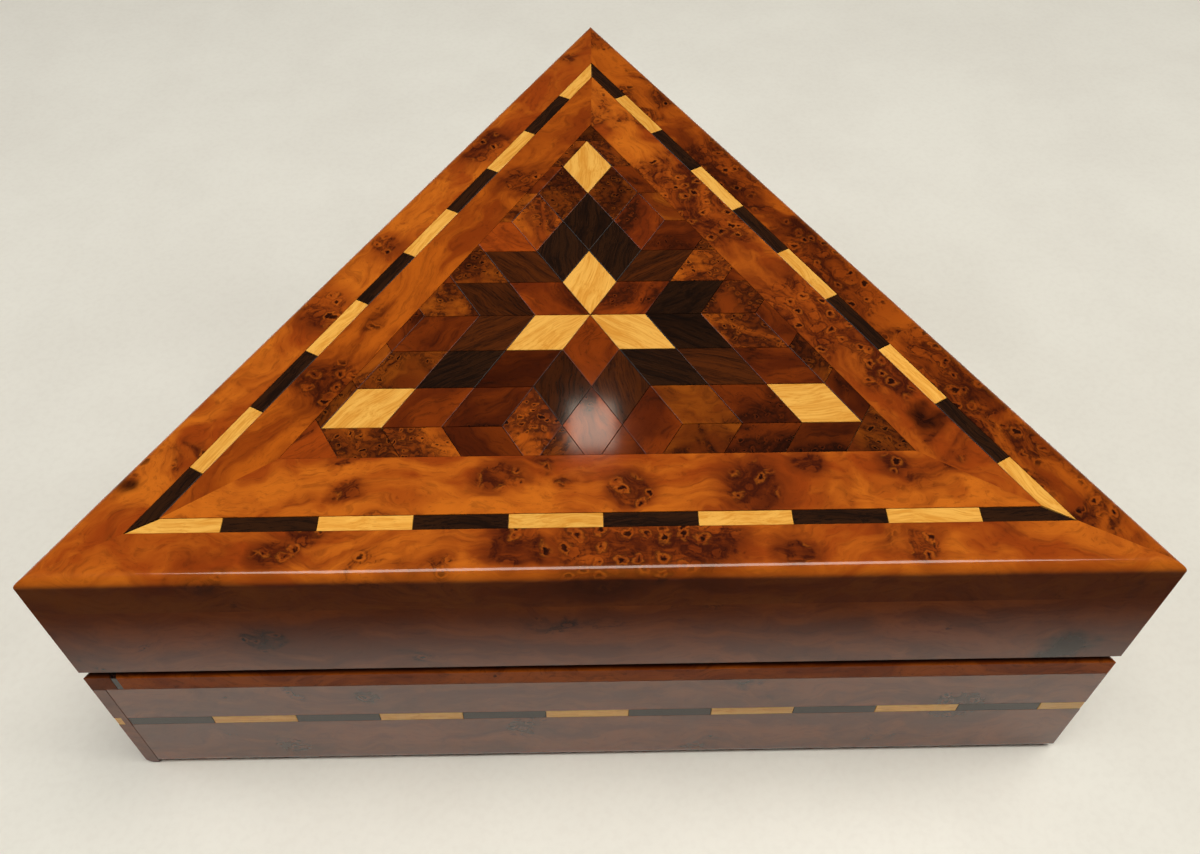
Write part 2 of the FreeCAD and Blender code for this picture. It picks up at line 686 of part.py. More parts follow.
marquetry = {letter: [] for letter in WOOD_NAMES}
for piece, letters in WOODS.items():
    for steps, letter in enumerate(letters):
        if piece == "point":
            outline = corner_slip(steps)
        else:
            outline = [lattice(point, drops[steps]) for point in PIECES[piece]]
        marquetry[letter].append(seated(outline, steps))
for letter, polygons in marquetry.items():
    finish(prism("marquetry_" + WOOD_NAMES[letter], polygons, veneer_low, height))


# ---------------------------------------------------------------- brass and steel, from primitives
SIDEWAYS = Rotation(Vector(0, 1, 0), 90)
INWARD = Rotation(Vector(1, 0, 0), -90)
OUTWARD = Rotation(Vector(1, 0, 0), 90)


def tie(item, **values):
    """Sets properties of a primitive and ties each to the sheet; x, y and z place it."""
    places = {"x": "Placement.Base.x", "y": "Placement.Base.y", "z": "Placement.Base.z"}
    for field, value in values.items():
        value = Size.of(value)
        if field in places:
            item.setExpression(places[field], value.text)
        else:
            setattr(item, field, value.value)
            item.setExpression(field, value.text)
    return item


def box(name, x0, x1, y0, y1, z0, z1):
    item = doc.addObject("Part::Box", name)
    return tie(item, Length=Size.of(x1) - x0, Width=Size.of(y1) - y0, Height=Size.of(z1) - z0,
               x=x0, y=y0, z=z0)


def rod(name, radius, length, x, y, z, facing):
    item = doc.addObject("Part::Cylinder", name)
    item.Placement = Placement(Vector(0, 0, 0), facing)
    return tie(item, Radius=radius, Height=length, x=x, y=y, z=z)


def taper(name, radius_1, radius_2, length, x, y, z, facing):
    item = doc.addObject("Part::Cone", name)
    item.Placement = Placement(Vector(0, 0, 0), facing)
    return tie(item, Radius1=radius_1, Radius2=radius_2, Height=length, x=x, y=y, z=z)


def fuse(name, shapes):
    item = doc.addObject("Part::MultiFuse", name)
    item.Shapes = shapes
    item.Label = name
    return item


def group(name, shapes):
    """Several like pieces in one node, each a solid of its own."""
    item = doc.addObject("Part::Compound", name)
    item.Links = shapes
    item.Label = name
    return item


def carve(name, base, tools):
    tool = tools[0] if len(tools) == 1 else fuse(name + "_cutters", tools)
    item = doc.addObject("Part::Cut", name)
    item.Base = base
    item.Tool = tool
    item.Label = name
    return item


def wood_screw(name, x, y, z, facing, sign):
    """Countersunk screw whose head ends flush at y; sign +1 drives it to +Y, -1 to -Y."""
    cone = taper(name + "_head", head, shank, leaf_thick, x, y, z, facing)
    body = rod(name + "_shank", shank, screw_long, x, y, z, facing)
    slot = box(name + "_slot", x - head * 1.2, x + head * 1.2,
               y - 0.35 if sign < 0 else y, y if sign < 0 else y + 0.35, z - 0.25, z + 0.25)
    return carve(name, fuse(name + "_turned", [cone, body]), [slot])


def sink(name, x, y, z, facing):
    """Countersunk hole that fits wood_screw with the running clearance."""
    return taper(name, head + running, shank + running, leaf_thick, x, y, z, facing)


third = leaf_long / 3.0
pin_y = -pin_out
leaf_face = -outer - leaf_thick
for spot, where in ((-hinge_place, "front"), (hinge_place, "back")):
    for up, owner in ((-1.0, "base"), (1.0, "lid")):
        name = "hinge_%s_leaf_%s" % (where, owner)
        near = split + (knuckle + knuckle_gap) * up
        far = split + leaf_drop * up
        low, high = (far, near) if up < 0 else (near, far)
        barrel_from = [spot - third * 1.5, spot + third * 0.5 + knuckle_gap / 2.0]
        barrel_long = third - knuckle_gap / 2.0
        if owner == "lid":
            barrel_from = [spot - third * 0.5 + knuckle_gap / 2.0]
            barrel_long = third - knuckle_gap
        solids = [box(name + "_plate", spot - leaf_long / 2.0, spot + leaf_long / 2.0,
                      leaf_face, -outer, low, high)]
        for k, start in enumerate(barrel_from):
            solids.append(rod("%s_barrel_%d" % (name, k), knuckle, barrel_long, start, pin_y,
                              split, SIDEWAYS))
            tab_far = split + (knuckle + knuckle_gap + 0.5) * up
            tab_near = split + knuckle * 0.6 * up
            tab_low, tab_high = (tab_far, tab_near) if up < 0 else (tab_near, tab_far)
            solids.append(box("%s_tab_%d" % (name, k), start, start + barrel_long, leaf_face,
                              -outer, tab_low, tab_high))
        holes = [rod(name + "_bore", pin + running, leaf_long + 2.0,
                     spot - leaf_long / 2.0 - 1.0, pin_y, split, SIDEWAYS)]
        for k, shift in enumerate((-screw_spread, screw_spread)):
            holes.append(sink("%s_sink_%d" % (name, k), spot + shift, leaf_face,
                              split + screw_level * up, INWARD))
        finish(carve(name, fuse(name + "_blank", solids), holes), RIGHT)
finish(group("hinge_pins", [
    rod("hinge_pin_" + where, pin, leaf_long + 0.8, spot - leaf_long / 2.0 - 0.4, pin_y, split,
        SIDEWAYS)
    for spot, where in ((-hinge_place, "front"), (hinge_place, "back"))]), RIGHT)
for up, owner in ((-1.0, "base"), (1.0, "lid")):
    finish(group("hinge_screws_" + owner, [
        wood_screw("hinge_screw_%s_%d" % (owner, k), x, leaf_face, split + screw_level * up,
                   INWARD, 1.0)
        for k, x in enumerate(hinge_spots)]), RIGHT)

# lock case, open towards the wall, with the post that the hollow key turns on
face = -inner
case_top = split - rim_gap
case_x0 = lock_place - case_wide / 2.0
case_x1 = lock_place + case_wide / 2.0
bolt_y0 = face + case_wall + 0.5
bolt_y1 = bolt_y0 + bolt_deep
bolt_x0 = lock_place - bolt_wide / 2.0
bolt_x1 = lock_place + bolt_wide / 2.0
case_solids = [box("case_block", case_x0, case_x1, face, face + case_deep, case_low, case_top)]
for k, (x0, x1) in enumerate(((case_x0 - ear, case_x0 + 0.5), (case_x1 - 0.5, case_x1 + ear))):
    case_solids.append(box("case_ear_%d" % k, x0, x1, face, face + leaf_thick,
                           ear_level - 5.0, ear_level + 5.0))
case_holes = [
    box("case_hollow", case_x0 + case_wall, case_x1 - case_wall, face - 1.0,
        face + case_deep - case_wall, case_low + case_wall, case_top - case_wall),
    box("case_slot", bolt_x0 - bolt_gap, bolt_x1 + bolt_gap, bolt_y0 - bolt_gap,
        bolt_y1 + bolt_gap, case_top - case_wall - 1.0, case_top + 1.0)]
for k, x in enumerate(ear_spots):
    case_holes.append(sink("case_sink_%d" % k, x, face + leaf_thick, ear_level, OUTWARD))
post = rod("case_post", pin, case_deep - case_wall * 1.5, lock_place, face + case_wall / 2.0,
           lock_level, INWARD)
finish(fuse("lock_case", [carve("case_shell", fuse("case_blank", case_solids), case_holes),
                          post]), LEFT)
tail_wide = bolt_wide * 1.8
bolt_tail = box("bolt_tail", lock_place - tail_wide / 2.0, lock_place + tail_wide / 2.0, bolt_y0,
                bolt_y1, bolt_low, bolt_low + 4.0)
bolt_stem = box("bolt_stem", bolt_x0, bolt_x1, bolt_y0, bolt_y1, bolt_low, case_top)
talon = box("bolt_talon", lock_place - key_bit / 2.0, lock_place + key_bit / 2.0, bolt_y0 - 1.0,
            bolt_y1 + 1.0, bolt_low - 1.0, bolt_low + 2.0)
finish(carve("lock_bolt", fuse("bolt_blank", [bolt_tail, bolt_stem]), [talon]), LEFT)
finish(group("lock_spring", [box("spring_leaf", lock_place - tail_wide / 2.0 - 0.7, lock_place - tail_wide / 2.0 - 0.3,
           bolt_y0 + 0.3, bolt_y1 - 0.3, case_low + case_wall, case_top - case_wall - 4.0)]), LEFT)
finish(group("lock_screws", [
    wood_screw("lock_screw_%d" % k, x, face + leaf_thick, ear_level, OUTWARD, -1.0)
    for k, x in enumerate(ear_spots)]), LEFT)

# strike: a plate on the lid wall with a shelf that the bolt rises through
strike_x0 = lock_place - 13.0
strike_x1 = lock_place + 13.0
strike_solids = [
    box("strike_back", strike_x0, strike_x1, face, face + strike_plate, strike_low,
        strike_low + strike_tall),
    box("strike_shelf", strike_x0, strike_x1, face, bolt_y1 + 2.0, strike_low,
        strike_low + strike_plate)]
strike_holes = [box("strike_slot", bolt_x0 - rim_gap, bolt_x1 + rim_gap, bolt_y0 - rim_gap,
                    bolt_y1 + rim_gap, strike_low - 1.0, strike_low + strike_plate + 1.0)]
for k, x in enumerate(strike_spots):
    strike_holes.append(sink("strike_sink_%d" % k, x, face + strike_plate, strike_level, OUTWARD))
finish(carve("strike", fuse("strike_blank", strike_solids), strike_holes), LEFT)
finish(group("strike_screws", [
    wood_screw("strike_screw_%d" % k, x, face + strike_plate, strike_level, OUTWARD, -1.0)
    for k, x in enumerate(strike_spots)]), LEFT)

# keyhole plate, let into the left board behind the sliding panel
plate = rod("plate_disc", rose, rose_thick, lock_place, -core, lock_level, INWARD)
plate_holes = [
    rod("plate_eye", hole, rose_thick + 2.0, lock_place, -core - 1.0, lock_level + hole, INWARD),
    box("plate_slot", lock_place - hole / 2.0, lock_place + hole / 2.0, -core - 1.0,
        -core + rose_thick + 1.0, lock_level - hole * 1.6, lock_level + hole)]
finish(carve("escutcheon", plate, plate_holes), LEFT)

# key, lying in its pocket under the front rail
key_x = pocket_from + 0.5 + key_bow
key_y = -tail_mid
key_z = pocket_low + fit + key_bow
bow = carve("key_ring", rod("key_disc", key_bow, key_thick, key_x, key_y - key_thick / 2.0, key_z,
                            INWARD),
            [rod("key_eye", key_eye, key_thick + 2.0, key_x, key_y - key_thick / 2.0 - 1.0, key_z,
                 INWARD)])
stem = rod("key_stem", key_stem, key_long + 0.8, key_x + key_bow - 0.8, key_y, key_z, SIDEWAYS)
stem_end = key_x + key_bow + key_long
bit = box("key_bit", stem_end - key_bit - 1.0, stem_end - 1.0, key_y - 0.6, key_y + 0.6,
          key_z - key_bit, key_z)
drilling = rod("key_drilling", pin + running, case_deep, stem_end - case_deep + 0.5, key_y, key_z,
               SIDEWAYS)
finish(carve("key", fuse("key_blank", [bow, stem, bit]), [drilling]), FRONT)


# ---------------------------------------------------------------- checks and export
doc.recompute()
for item in doc.Objects:
    if "Invalid" in item.State or "Error" in item.State:
        raise RuntimeError("%s did not compute: %s" % (item.Name, item.State))
for item in parts:
    if item.Shape.isNull() or not item.Shape.isValid() or not item.Shape.Solids:
        raise RuntimeError("%s has no valid solid" % item.Label)
os.makedirs("parts", exist_ok=True)
for item in parts:
    item.Shape.exportStep(os.path.join("parts", item.Label + ".step"))
print("%d nodes, %d solids" % (len(parts), sum(len(item.Shape.Solids) for item in parts)))
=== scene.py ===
# %% [markdown]
# # A triangular puzzle box in thuya burl
# The real box is a small lacquered keepsake box with three equal sides.  Its lid carries a star of
# little rhombic slips, and a line of light and dark slips runs round the lid and the base.
# The boards, hinges and lock arrive ready made as solid parts.  What is left for Blender is the
# finish: figured wood, brass, felt, lacquer, and the slips, whose grain turns from one to the next.

# %% The fixed parts
import math

import bmesh
import bpy
import numpy as np
from mathutils import Matrix, Vector


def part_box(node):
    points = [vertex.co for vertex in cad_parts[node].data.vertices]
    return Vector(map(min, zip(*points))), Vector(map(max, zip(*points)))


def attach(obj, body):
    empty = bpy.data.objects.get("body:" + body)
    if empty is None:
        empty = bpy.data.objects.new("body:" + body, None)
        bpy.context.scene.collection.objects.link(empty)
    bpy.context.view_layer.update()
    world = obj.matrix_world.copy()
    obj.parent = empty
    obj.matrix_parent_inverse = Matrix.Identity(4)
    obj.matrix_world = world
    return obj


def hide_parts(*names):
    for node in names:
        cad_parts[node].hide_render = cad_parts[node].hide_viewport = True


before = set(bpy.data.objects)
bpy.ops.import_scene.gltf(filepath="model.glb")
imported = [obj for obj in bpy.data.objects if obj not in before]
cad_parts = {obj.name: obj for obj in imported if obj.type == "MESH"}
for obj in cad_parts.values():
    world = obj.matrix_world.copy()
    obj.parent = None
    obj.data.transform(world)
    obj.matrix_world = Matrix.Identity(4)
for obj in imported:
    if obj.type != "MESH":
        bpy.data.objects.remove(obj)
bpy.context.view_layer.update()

# %% [markdown]
# ## Sizes
# A maker marks out everything from a few sizes.  The same sizes that drew the solid parts are
# repeated here in millimetres, and each distance below is measured from the middle of the triangle
# to a side.  All three sides are drawn as the front side and then turned about the middle.

# %% Sizes in millimetres
ROOT3 = math.sqrt(3.0)
SIDE, HEIGHT = 200.0, 75.0
OUTER = SIDE / (2.0 * ROOT3)
INNER = OUTER - 10.0
CORE = OUTER - 2.35
LINE_OUT = OUTER - 9.6
LINE_IN = LINE_OUT - 3.2
SEAM = 0.12
VENEER = 1.2
FELT_OUT = INNER - 0.3
INLAY_DEEP, INLAY_LOW, INLAY_HIGH, PITCH = 1.2, 19.4, 3.1, 17.1
RHOMB = 11.3
ROW = RHOMB * ROOT3 / 2.0
STAR = np.array([-1.6, 4.4])
FIELD = 117.4 / (2.0 * ROOT3)
FIELD_AT = np.array([-0.6, 1.8])
TURNS = {"front": 0.0, "right": 120.0, "left": 240.0}
print("a side lies %.3f mm from the middle" % OUTER)

# %% [markdown]
# ## Shader sums written as Python
# A wood finish is a long sum of patterns.  Joining dozens of nodes by hand hides the sum, so one
# small class wraps a node's output and turns + - * into the nodes that do the work.

# %% Wire: one output of a node
class Wire:
    """An output socket with arithmetic.  Numbers use Math nodes, vectors use Vector Math."""

    def __init__(self, tree, socket):
        self.tree, self.socket = tree, socket

    def node(self, kind, settings, inputs, out=0):
        """Adds a node: its settings first, then its sockets, and gives back one output."""
        made = self.tree.nodes.new(kind)
        for name, value in settings.items():
            setattr(made, name, value)
        for name, value in inputs.items():
            if isinstance(value, Wire):
                self.tree.links.new(value.socket, made.inputs[name])
            else:
                made.inputs[name].default_value = value
        return Wire(self.tree, made.outputs[out])

    def _sum(self, operation, a, b):
        vector = any(isinstance(v, tuple) or isinstance(v, Wire) and v.socket.type == "VECTOR"
                     for v in (a, b))
        if vector:
            a, b = ((v, v, v) if isinstance(v, (int, float)) else v for v in (a, b))
        kind = "ShaderNodeVectorMath" if vector else "ShaderNodeMath"
        return self.node(kind, {"operation": operation}, {0: a, 1: b})

    def __add__(self, other):
        return self._sum("ADD", self, other)

    def __radd__(self, other):
        return self._sum("ADD", other, self)

    def __sub__(self, other):
        return self._sum("SUBTRACT", self, other)

    def __rsub__(self, other):
        return self._sum("SUBTRACT", other, self)

    def __mul__(self, other):
        return self._sum("MULTIPLY", self, other)

    def __rmul__(self, other):
        return self._sum("MULTIPLY", other, self)

    def most(self, other):
        return self._sum("MAXIMUM", self, other)

    def wave(self):
        return self.node("ShaderNodeMath", {"operation": "SINE"}, {0: self})

    def part(self, axis):
        """One number out of a vector: 0, 1 or 2."""
        return self.node("ShaderNodeSeparateXYZ", {}, {0: self}, axis)

    def rise(self, low, high, start=0.0, end=1.0):
        """Runs smoothly from start to end while this number goes from low to high."""
        return self.node("ShaderNodeMapRange", {"interpolation_type": "SMOOTHSTEP"},
                         {"Value": self, "From Min": low, "From Max": high,
                          "To Min": start, "To Max": end})

    def noise(self, detail=3.0, rough=0.5, twist=0.0, out=0):
        return self.node("ShaderNodeTexNoise", {"noise_dimensions": "3D"},
                         {"Vector": self, "Scale": 1.0, "Detail": detail, "Roughness": rough,
                          "Distortion": twist}, out)

    def cells(self, out=0):
        """Flat cells: the distance to the nearest centre, or that cell's own colour."""
        return self.node("ShaderNodeTexVoronoi", {"voronoi_dimensions": "2D", "feature": "F1"},
                         {"Vector": self, "Scale": 1.0, "Randomness": 1.0}, out)

    def skin(self):
        """The point laid on the board's skin: y and z run on from the top over the edge."""
        return self.node("ShaderNodeCombineXYZ", {}, {0: self.part(0),
                                                     1: self.part(1) + self.part(2)})

    def away(self, spot):
        """Distance of this point from a spot."""
        return self.node("ShaderNodeVectorMath", {"operation": "DISTANCE"}, {0: self, 1: spot}, 1)

    def tint(self, below, above):
        """Blends two colours: below where this number is 0, above where it is 1."""
        return self.node("ShaderNodeMix", {"data_type": "RGBA"}, {0: self, 6: below, 7: above}, 2)


def colour(red, green, blue):
    """A colour chip given in everyday 0 to 255 values, as light: the screen curve undone."""
    def light(v):
        v /= 255.0
        return v / 12.92 if v <= 0.04045 else ((v + 0.055) / 1.055) ** 2.4
    return (light(red), light(green), light(blue), 1.0)


print("a mid orange as light:", [round(v, 3) for v in colour(165, 82, 20)])

# %% [markdown]
# ## Where a pattern sits
# Grain belongs to the board, not to the shelf it stands on.  A board's finish reads the point in
# millimetres, turned so that x runs along the board, so the top, edge and end of one board cut
# through one solid figure, as in real timber.  A slip carries its own board coordinates in an
# attribute, because each slip was sawn from a different place in the plank.

# %% Coordinates and the surface at the end of every finish
def start(name):
    """An empty material: gives the wire that other wires start from, and the surface node."""
    material = bpy.data.materials.new(name)
    material.use_nodes = True
    tree = material.node_tree
    surface = tree.nodes["Principled BSDF"]
    return material, Wire(tree, None).node("ShaderNodeTexCoord", {}, {}, "Object"), surface


def board_place(wire, turn, shift=(0.0, 0.0, 0.0)):
    """The point in millimetres, turned back by turn degrees so that x runs along the board."""
    return wire.node("ShaderNodeMapping", {"vector_type": "POINT"},
                     {"Vector": wire, "Scale": (1000.0,) * 3,
                      "Rotation": (0.0, 0.0, math.radians(-turn)), "Location": shift})


def finish_with(surface, paint, rough, relief=None, depth=0.00003, strength=0.35, **fixed):
    """Feeds colour, roughness and relief into the surface, and sets its fixed values."""
    tree = paint.tree
    tree.links.new(paint.socket, surface.inputs["Base Color"])
    if isinstance(rough, Wire):
        tree.links.new(rough.socket, surface.inputs["Roughness"])
    else:
        surface.inputs["Roughness"].default_value = rough
    if relief is not None:
        bump = paint.node("ShaderNodeBump", {}, {"Strength": strength, "Distance": depth,
                                                 "Height": relief})
        tree.links.new(bump.socket, surface.inputs["Normal"])
    for name, value in fixed.items():
        surface.inputs[name.replace("_", " ")].default_value = value


LACQUER = {"Coat_Weight": 0.80, "Coat_Roughness": 0.07, "Coat_IOR": 1.5,
           "Specular_IOR_Level": 0.03}
print("lacquer:", LACQUER)

# %% [markdown]
# ## Thuya burl
# Thuya root is orange brown with red clouds.  Where buds once crowded in the root, small dark eyes
# sit in rings of bent grain.  The figure is made from four things: a wandering point that bends the
# grain, long soft bands, fine growth lines, and cells whose centres become eyes where a slow cloud
# says that the burl is thick.  Knots add a few places where the maker chose to show the eyes.

# %% Thuya burl finish
def thuya(name, place, light, middle, dark, crowd=0.5, knots=(), eye=0.28, streak=1.0,
          contrast=1.0, tone=None, edge=None, gloss=LACQUER, stains=()):
    """Colour and relief of figured thuya.

    place(wire) gives the board point in mm.  crowd from 0 to 1 is how much of the board is burl,
    knots are (x, y, z, radius) with more eyes, stains the same with darker wood, eye is the
    number of eye cells in a millimetre, and contrast is the strength of the red clouds.
    """
    material, wire, surface = start(name)
    point = place(wire)
    bend = (point * 0.035).noise(2.0, 0.5, 0.0, 1) - (0.5, 0.5, 0.5)
    curl = (point * 0.13).noise(2.0, 0.55, 0.0, 1) - (0.5, 0.5, 0.5)
    q = point + bend * 30.0 + curl * 6.0
    bands = (q * (0.025, 0.13, 0.13)).noise(4.0, 0.55)
    lines = (q * (0.09, 1.0, 1.0)).noise(4.0, 0.62)
    fleck = (q * (0.8, 5.0, 5.0)).noise(2.0, 0.5)
    cloud = (point * 0.062 + bend * 1.5).noise(3.0, 0.55, 0.6)
    burl = cloud.rise(0.66 - 0.34 * crowd, 0.76 - 0.34 * crowd)
    spread = cloud.rise(0.54 - 0.30 * crowd, 0.86 - 0.30 * crowd)
    for x, y, z, radius in knots:
        near = (point + curl * 7.0).away((x, y, z))
        burl = burl.most(near.rise(radius * 0.7, radius, 1.0, 0.0))
        spread = spread.most(near.rise(radius * 0.6, radius * 1.8, 1.0, 0.0))
    ragged = (point * 0.75).noise(2.0, 0.6, 0.0, 1) - (0.5, 0.5, 0.5)
    skin = (point + curl * 3.0 + ragged * 1.6).skin() * eye
    gap, pick = skin.cells(), skin.cells(1).part(0)
    bud = pick.rise(0.34, 0.42) * burl
    size = pick.rise(0.3, 1.0, 0.05, 0.17)
    eyes = (size - gap).rise(-0.06, 0.05) * bud
    halo = gap.rise(0.12, 0.24) * gap.rise(0.24, 0.42, 1.0, 0.0) * bud * lines.rise(0.38, 0.58)
    ring = gap.rise(0.14, 0.36) * gap.rise(0.40, 1.05, 1.0, 0.0) * burl
    dots = (skin * 2.7 + (31.0, 7.0, 0.0)).cells().rise(0.06, 0.16, 1.0, 0.0) * burl
    swirl = (gap * 30.0 + bands * 8.0).wave() * gap.rise(0.2, 0.9, 1.0, 0.0) * burl
    paint = bands.rise(0.34, 0.64).tint(light, middle)
    paint = (lines.rise(0.50, 0.68) * (0.30 * streak)).tint(paint, dark)
    paint = (spread * (0.70 * contrast)).rise(0.0, 1.0).tint(paint, middle)
    paint = (spread * bands.rise(0.36, 0.60) * lines.rise(0.2, 0.6, 0.6, 1.0)
             * (0.72 * contrast)).tint(paint, dark)
    paint = (ring * (bands * 0.5 + lines * 0.5).rise(0.36, 0.60, 0.20, 0.85)
             + swirl * 0.18).rise(0.0, 1.0).tint(paint, dark)
    paint = (halo * (0.42 - 0.20 * crowd)).tint(paint, light)
    black = (dark[0] * 0.22, dark[1] * 0.20, dark[2] * 0.25, 1.0)
    paint = (fleck.rise(0.60, 0.74) * 0.30 * streak).tint(paint, dark)
    paint = (eyes * 0.94).most(dots * lines.rise(0.44, 0.56) * 0.6).tint(paint, black)
    for x, y, z, radius in stains:
        near = (point + curl * 9.0 + bend * 5.0).away((x, y, z))
        paint = (near.rise(radius * 0.35, radius, 1.0, 0.0) * lines.rise(0.2, 0.7, 0.72, 0.96)
                 ).tint(paint, black)
    if edge is not None:
        paint = edge(wire, paint, lines)
    if tone is not None:
        paint = tone(wire, paint)
    rough = 0.40 + lines * 0.16
    relief = lines * 0.35 + fleck * 0.15 - eyes * 0.8
    finish_with(surface, paint, rough, relief, 0.00002, 0.30, **gloss)
    return material


ORANGE = dict(light=colour(198, 106, 26), middle=colour(148, 62, 13), dark=colour(62, 20, 6))
# Painted shade: a darker copy of the thuya colours for the upright walls, which light from above
# reaches less.
UPRIGHT_SHADE = dict(light=colour(126, 60, 16), middle=colour(98, 43, 11), dark=colour(48, 19, 6))
# Painted shade: a darker copy of the orange thuya for the lid boards further back, where the light
# falls off.
BACK_SHADE = dict(light=colour(180, 90, 18), middle=colour(132, 54, 9), dark=colour(54, 17, 4))
print("thuya is mixed from", len(ORANGE), "colours")

# %% [markdown]
# ## Plain woods
# Walnut, ebony, lemonwood and red thuya have straight grain.  One recipe serves them all: soft
# bands, fine lines and short dark pores, each stretched along x, with colours that belong to the
# wood.

# %% Straight grained wood finish
def straight(name, place, light, dark, pore, lines_at=(0.42, 0.68), pores=0.6, tone=None,
             gloss=LACQUER):
    """Straight grain: colours from light to dark along bands, with pores on top."""
    material, wire, surface = start(name)
    point = place(wire)
    bend = (point * 0.05).noise(2.0, 0.5, 0.0, 1) - (0.5, 0.5, 0.5)
    q = point + bend * 7.0
    bands = (q * (0.035, 0.45, 0.45)).noise(4.0, 0.6)
    lines = (q * (0.09, 2.6, 2.6)).noise(3.0, 0.6)
    holes = (q * (0.55, 7.0, 7.0)).noise(2.0, 0.5)
    paint = (bands.rise(0.3, 0.7) * 0.6 + lines.rise(*lines_at) * 0.5).rise(0.0, 1.0).tint(
        light, dark)
    paint = (holes.rise(0.58, 0.72) * pores).tint(paint, pore)
    if tone is not None:
        paint = tone(wire, paint)
    finish_with(surface, paint, 0.40 + lines * 0.14, lines * 0.5 - holes * 0.2, 0.000015, 0.3,
                **gloss)
    return material


# %% [markdown]
# ## Slips and their boards
# A slip's grain direction and its place in the plank are worked out when its mesh is made, and kept
# on the mesh as an attribute called board.  A second attribute, tone, makes one slip a little
# darker than the next.

# %% Reading a slip's own attributes
def slip_place(wire):
    """The point in its plank, in mm, from the slip's own attribute."""
    return wire.node("ShaderNodeAttribute", {"attribute_name": "board"}, {}, 1)


def slip_tone(wire, paint):
    """Darkens or lightens a slip as a whole, from its own attribute."""
    tone = wire.node("ShaderNodeAttribute", {"attribute_name": "tone"}, {}, 2)
    return wire.node("ShaderNodeHueSaturation", {},
                     {"Hue": 0.5, "Saturation": 1.0, "Value": tone, "Fac": 1.0, "Color": paint})


# %% Woods of the slips
SLIP_WOODS = {
    "lemonwood": straight("lemonwood_slips", slip_place, colour(240, 184, 88),
                          colour(218, 150, 56), colour(170, 104, 34), pores=0.28,
                          tone=slip_tone),
    "ebony": straight("ebony_slips", slip_place, colour(50, 27, 12), colour(24, 12, 7),
                      colour(10, 6, 4), tone=slip_tone),
    "walnut": straight("walnut_slips", slip_place, colour(82, 38, 10), colour(44, 19, 6),
                       colour(18, 8, 4), tone=slip_tone),
    "red_thuya": thuya("red_thuya_slips", slip_place, colour(142, 60, 11), colour(98, 36, 7),
                       colour(44, 15, 4), crowd=0.34, eye=0.55, streak=1.5, contrast=1.4,
                       tone=slip_tone),
    "burl": thuya("burl_slips", slip_place, colour(172, 88, 18), colour(124, 52, 10),
                  colour(50, 18, 5), crowd=0.72, eye=0.50, tone=slip_tone),
}
print("slip woods:", ", ".join(SLIP_WOODS))

# %% [markdown]
# ## The shape of a slip
# A slip is a thin prism.  Its outline is drawn in the plane, and the same outline is carried up
# through a few rings: the underside, the top of the side, and the top face, which is drawn in by a
# few hundredths of a millimetre, as the edge of a scraped slip is.

# %% Slips from outlines
def inset(outline, by):
    """Outline drawn in: a corner p goes to p + by (n1 + n2) / (1 + n1.n2), n the edge normals."""
    ahead = np.roll(outline, -1, axis=1) - outline
    ahead /= np.linalg.norm(ahead, axis=2, keepdims=True)
    normal = np.stack([-ahead[..., 1], ahead[..., 0]], axis=2)
    before = np.roll(normal, 1, axis=1)
    along = (normal * before).sum(axis=2, keepdims=True)
    return outline + by * (normal + before) / (1.0 + along)


def anticlockwise(outline):
    """Corner order made anticlockwise: the sum of the cross products gives the side."""
    nxt = np.roll(outline, -1, axis=1)
    area = (outline[..., 0] * nxt[..., 1] - outline[..., 1] * nxt[..., 0]).sum(axis=1)
    return np.where(area[:, None, None] < 0, outline[:, ::-1], outline)


